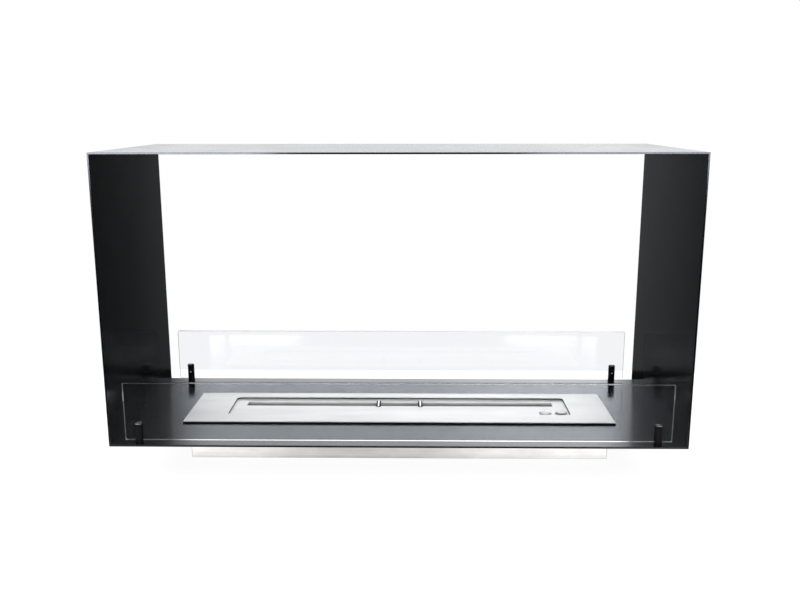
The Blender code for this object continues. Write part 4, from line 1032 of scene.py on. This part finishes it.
class FIREPLACE_OT_burner_top(bpy.types.Operator):
    """Make the trim plate, the sunken well and the bridges"""

    bl_idname = "fireplace.burner_top"
    bl_label = "Burner top"

    def execute(self, context):
        burner = context.scene.fireplace_burner
        steel = brushed_stainless(burner)
        dress(self.make_trim_plate(burner), "burner", (steel,), ("burner_trim_plate",))
        well = self.make_well(burner)
        dress(well, "burner", (steel, rear_lip_painted_highlight()), ("well_frame", "burner_well"))
        # The rear lip's faces towards the viewer get the pale material, a painted highlight where the lamps
        # light them
        paint_second(well, self.is_rear_lip)
        # Thin black strips over the trim plate's rim and the well's wall are painted shadow
        strip_black = painted_shadow_black()
        for name, outline, low, top, outwards in (
            ("trim_seal", TRIM_OUTLINE, TRIM_LOW.z, TRIM_LOW.z + 2.2 * MM, 1),
            ("well_seal", self.well_outline(burner), WELL_HIGH.z + 1.4 * MM, FRAME_HIGH.z + 0.2 * MM, -1),
        ):
            dress(self.make_shadow_strip(name, outline, low, top, outwards), "burner", (strip_black,))
        for side in ("left", "right"):
            node = f"slot_bridge_{side}"
            bridge = self.make_bridge(f"{side}_slot_bridge", node)
            # Faces off the crown, on the flanks, get the painted dark reflection
            materials = (polished_stainless(), bridge_flank_painted_reflection())
            dress(bridge, "burner", materials, (node,))
            middle = corners(node)[2]
            paint_second(bridge, lambda face: abs(face.center.x - middle.x) > burner.crown / 2)
        return {"FINISHED"}

    def is_rear_lip(self, face):
        """Whether a face of the well belongs to the slot's rear lip, which faces the viewer."""
        room, below, behind, facing = 1 * MM, 0.05 * MM, 12 * MM, -0.3
        place = face.center
        lip = abs(place.x) < WICK_HIGH.x + room and place.z < WELL_HIGH.z - below
        return lip and WICK_LOW.y < place.y < WICK_HIGH.y + behind and face.normal.y < facing

    def well_outline(self, burner):
        """The outline of the well at the inner side of its wall."""
        wall = burner.well_sheet
        return WELL_HIGH.x - wall, WELL_LOW.y + wall, WELL_HIGH.y - wall, burner.well_corner

    def make_trim_plate(self, burner):
        """One sheet with a turned-down rim and an opening with broken edges."""
        rim, opening = TRIM_OUTLINE, self.well_outline(burner)
        top, low, sheet = TRIM_HIGH.z, TRIM_LOW.z, burner.sheet
        levels = (
            (rim, low), *bend(rim, top, burner.bend, -burner.bend, 0, QUARTER_TURN),
            *bend(opening, top, burner.edge, burner.edge, QUARTER_TURN, 0, 2),
            (opening, top - sheet), (rim, top - sheet, -sheet), (rim, low, -sheet),
        )
        return even_shading(lofted("trim_plate", levels))

    def make_well(self, burner):
        """The pressed well: flange, wall, floor and lipped slot, with holes for the controls."""
        opening = self.well_outline(burner)
        flange = (FRAME_HIGH.x, FRAME_LOW.y, FRAME_HIGH.y, MERGE)
        slot_half, slot_corner, hole = 10 * MM, 1.5 * MM, 9.6 * MM
        slot = (WICK_HIGH.x, WICK_MIDDLE.y - slot_half, WICK_MIDDLE.y + slot_half, slot_corner)
        top, floor, foot = FRAME_HIGH.z, WELL_HIGH.z, WELL_LOW.z
        sheet, fold = burner.well_sheet, 0.8 * MM
        lip, lip_fold, end_fold = 1 * MM, 1.4 * MM, 0.5 * MM
        levels = (
            (flange, top), (opening, top), *bend(opening, floor, -fold, -fold, 0, QUARTER_TURN),
            *bend(slot, floor, lip_fold, lip_fold, QUARTER_TURN, 0, 6, end_fold),
            (slot, foot), (slot, foot, lip), (slot, floor - lip_fold, lip),
            (slot, floor - sheet, lip_fold, lip), (opening, floor - sheet, sheet),
            (opening, top - sheet, sheet), (flange, top - sheet),
        )
        holes = []
        for node in ("button_nut", "filler_nut"):
            middle = corners(node)[2]
            place = (middle.x, middle.y, 0)
            holes.append(prism("hole", hole, floor - 2 * sheet, floor + OVERRUN, SMALL_SIDES, place))
        return even_shading(cut_away(lofted("sunken_well", levels), holes))

    def make_shadow_strip(self, name, outline, low, top, outwards):
        """A thin flat black strip of painted shadow on the outer or the inner side of an upright wall."""
        near, far = 0.05 * MM * outwards, 0.35 * MM * outwards
        section = ((low, near), (low, far), (top, far), (top, near))
        return lofted(name, [(outline, *point) for point in section])

    def make_bridge(self, name, node):
        """A low half-elliptic bar over the slot, with rounded ends."""
        low, high, middle = corners(node)
        half_width, half_length = (high.x - low.x) / 2, (high.y - low.y) / 2
        crown, steps = 0.96 * QUARTER_TURN, 12
        levels = []
        for inward, upward in quarter(0, crown, steps):
            half = half_width * (1 - inward)
            end = half_length - (half_width - half)
            levels.append(((half, -end, end, half - MERGE), low.z + (high.z - low.z) * upward))
        return lofted(name, levels, capped=True, place=Matrix.Translation((middle.x, middle.y, 0)))


class FIREPLACE_OT_housing(bpy.types.Operator):
    """Make the burner's housing"""

    bl_idname = "fireplace.housing"
    bl_label = "Burner housing"

    def execute(self, context):
        steel = mill_stainless()
        nodes = ("housing_channel", "housing_end_left", "housing_end_right")
        dress(self.make_housing(), "burner", (steel,), nodes)
        finish_nodes(steel, (
            "lid_bracket_left", "lid_bracket_right", "flame_trough", "fuel_tank", "tank_roof",
            "sensor_holder", "inlet_nut", "button_nut", "filler_nut", "level_stem",
        ))
        return {"FINISHED"}

    def make_housing(self):
        """An open-topped folded box with rounded bends."""
        low, top = CHANNEL_LOW.z, CHANNEL_HIGH.z
        fold, corner, sheet = 2 * MM, 3.2 * MM, 1.2 * MM
        wall = (CHANNEL_HIGH.x, CHANNEL_LOW.y, CHANNEL_HIGH.y, corner)
        levels = (
            *bend(wall, low, -fold, -fold, QUARTER_TURN, 0), (wall, top), (wall, top, -sheet),
            (wall, low + sheet, -sheet),
        )
        return even_shading(lofted("housing_box", levels, capped=True))


class FIREPLACE_OT_controls(bpy.types.Operator):
    """Make the push button with its spring and the filler's cap"""

    bl_idname = "fireplace.controls"
    bl_label = "Controls"

    def execute(self, context):
        bright = polished_stainless()
        satin = satin_stainless()
        dress(self.make_bezel(), "burner", (satin,), ("button_body",))
        dress(self.make_button(), "button", (satin,), ("push_button",))
        dress(self.make_cap(), "cap", (satin,), ("filler_cap",))
        self.make_spring(bright)
        finish_nodes(bright, ("suction_tube", "delivery_tube", "flame_sensor", "pump_motor"))
        finish_nodes(satin, ("filler_neck",))
        finish_nodes(nitrile_rubber(), ("cap_seal",))
        return {"FINISHED"}

    def make_spring(self, bright):
        """The button's coil spring, filling the box of its CAD node."""
        low, high, middle = corners("button_spring")
        wire, travel, turns = 0.4 * MM, 2 * MM, 5.0
        spring = geometry_result("coil_spring", coil_tree(), {
            "Radius": (high.x - low.x) / 2 - wire, "Wire": wire, "Rise": high.z - low.z - 2 * wire,
            "Turns": turns, "Finish": bright,
        })
        spring.data.transform(Matrix.Translation((middle.x, middle.y, low.z + wire)))
        dress(spring, "burner", (bright,), ("button_spring",))
        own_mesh(spring)

    def make_bezel(self):
        """The button's barrel with a steeply sloped bezel."""
        low, high, middle = corners("button_body")
        plunger_low, plunger_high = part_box("push_button")
        room, edge, bottom, lift = 0.3 * MM, 0.3 * MM, 2 * MM, 0.3 * MM
        outer, barrel = (high.x - low.x) / 2, 9.3 * MM
        bore, seat = (plunger_high.x - plunger_low.x) / 2 + room, WELL_HIGH.z + lift
        slope, rise = 1 * MM, 2.2 * MM
        profile = [(0, low.z + bottom), (bore, low.z + bottom), (bore, high.z - edge), (bore + edge, high.z)]
        profile += [(outer - slope, high.z), (outer, high.z - rise), (outer, seat), (barrel, seat)]
        profile += [(barrel, low.z), (0, low.z)]
        return turned_piece("button_bezel", profile, (middle.x, middle.y, 0))

    def make_button(self):
        """The plunger, with a ring groove in a slightly hollow face."""
        low, high, middle = corners("push_button")
        radius, top = (high.x - low.x) / 2, high.z
        ring, groove, edge, hollow, rim = 4.5 * MM, 0.4 * MM, 0.4 * MM, 0.3 * MM, 0.1 * MM
        profile = [(0, top - hollow), (ring - 2 * groove, top - rim), (ring - groove, top - groove)]
        profile += [(ring + groove, top - groove), (ring + 2 * groove, top)]
        profile += [(radius - edge, top), (radius, top - edge), (radius, low.z), (0, low.z)]
        return turned_piece("button_plunger", profile, (middle.x, middle.y, 0))

    def make_cap(self):
        """The filler's cap with its plug and a coin slot across its face."""
        low, high, middle = corners("filler_cap")
        outer, plug, edge = (high.x - low.x) / 2, 6.6 * MM, 1 * MM
        slope, rise, disc = 0.8 * MM, 1.6 * MM, 2 * MM
        length, width, depth = 6.5 * MM, 0.8 * MM, 0.8 * MM
        seat = high.z - disc
        profile = [(0, high.z), (outer - slope, high.z), (outer, high.z - rise), (outer, seat), (plug, seat)]
        profile += [(plug, low.z + edge), (plug - edge, low.z), (0, low.z)]
        cap = turned_piece("fuel_cap", profile, (middle.x, middle.y, 0))
        groove = cuboid((-length, -width, high.z - depth), (length, width, high.z + OVERRUN))
        slot = mesh_object("slot", groove, smooth=False)
        slanted = Matrix.Rotation(QUARTER_TURN / 2, 4, "Z")
        slot.data.transform(Matrix.Translation((middle.x, middle.y, 0)) @ slanted)
        return cut_away(cap, [slot])


class FIREPLACE_OT_inside(bpy.types.Operator):
    """Make the wick and finish the pieces inside the housing"""

    bl_idname = "fireplace.inside"
    bl_label = "Inside of the burner"

    def execute(self, context):
        # The wick's dark grey is painted shade for the deep slot
        dress(self.make_wick(), "burner", (ceramic_fibre_painted_shade(),), ("wick_pad",))
        finish_nodes(igniter_ceramic(), ("igniter",))
        finish_nodes(glass_filled_nylon(), ("pump_head", "control_unit", "power_inlet"))
        finish_nodes(natural_acetal(), ("level_float",))
        return {"FINISHED"}

    def make_wick(self):
        """A pressed fibre pad, its surface a little uneven."""
        lumps, spacing = 0.5 * MM, 4 * MM
        inset = Vector((lumps,) * 3)
        shape = cuboid(WICK_LOW + inset, WICK_HIGH - inset)
        # Cuts along the pad, and then across it
        for cuts, long_way in ((199, True), (7, False)):
            edges = [
                edge for edge in shape.edges
                if (abs(edge.verts[0].co.x - edge.verts[1].co.x) > MERGE) == long_way
            ]
            bmesh.ops.subdivide_edges(shape, edges=edges, cuts=cuts, use_grid_fill=True)
        pad = mesh_object("wick", shape)
        texture = bpy.data.textures.new("fibre lumps", "CLOUDS")
        texture.noise_scale = spacing
        step = pad.modifiers.new("fibre lumps", "DISPLACE")
        step.texture = texture
        step.texture_coords = "LOCAL"
        step.strength = 2 * lumps
        step.mid_level = 0.5
        return apply_modifiers(pad)


class FIREPLACE_PT_sidebar(bpy.types.Panel):
    """The fireplace's sizes, colours and pieces"""

    bl_idname = "FIREPLACE_PT_sidebar"
    bl_label = "Fireplace"
    bl_space_type = "VIEW_3D"
    bl_region_type = "UI"
    bl_category = "Fireplace"

    def draw(self, context):
        for name, kind in SETTINGS.items():
            box = self.layout.box()
            settings = getattr(context.scene, name)
            for field in kind.__annotations__:
                box.prop(settings, field)
        for operator in OPERATORS:
            self.layout.operator(operator.bl_idname)


SETTINGS = {
    "fireplace_coat": CoatSettings,
    "fireplace_glass": GlassSettings,
    "fireplace_post": PostSettings,
    "fireplace_burner": BurnerSettings,
    "fireplace_stage": StageSettings,
}
OPERATORS = (
    FIREPLACE_OT_stage,
    FIREPLACE_OT_casing,
    FIREPLACE_OT_panes,
    FIREPLACE_OT_posts,
    FIREPLACE_OT_screws,
    FIREPLACE_OT_burner_top,
    FIREPLACE_OT_housing,
    FIREPLACE_OT_controls,
    FIREPLACE_OT_inside,
)


def register():
    """Register the settings, the operators and the panel."""
    for name, kind in SETTINGS.items():
        bpy.utils.register_class(kind)
        setattr(bpy.types.Scene, name, bpy.props.PointerProperty(type=kind))
    for kind in (*OPERATORS, FIREPLACE_PT_sidebar):
        bpy.utils.register_class(kind)


def unregister():
    """Take everything back that register added."""
    for kind in (FIREPLACE_PT_sidebar, *reversed(OPERATORS)):
        bpy.utils.unregister_class(kind)
    for name, kind in reversed(SETTINGS.items()):
        delattr(bpy.types.Scene, name)
        bpy.utils.unregister_class(kind)


def main():
    """Build every piece."""
    register()
    for kind in OPERATORS:
        group, operator = kind.bl_idname.split(".")
        getattr(getattr(bpy.ops, group), operator)()


if __name__ == "__main__":
    main()
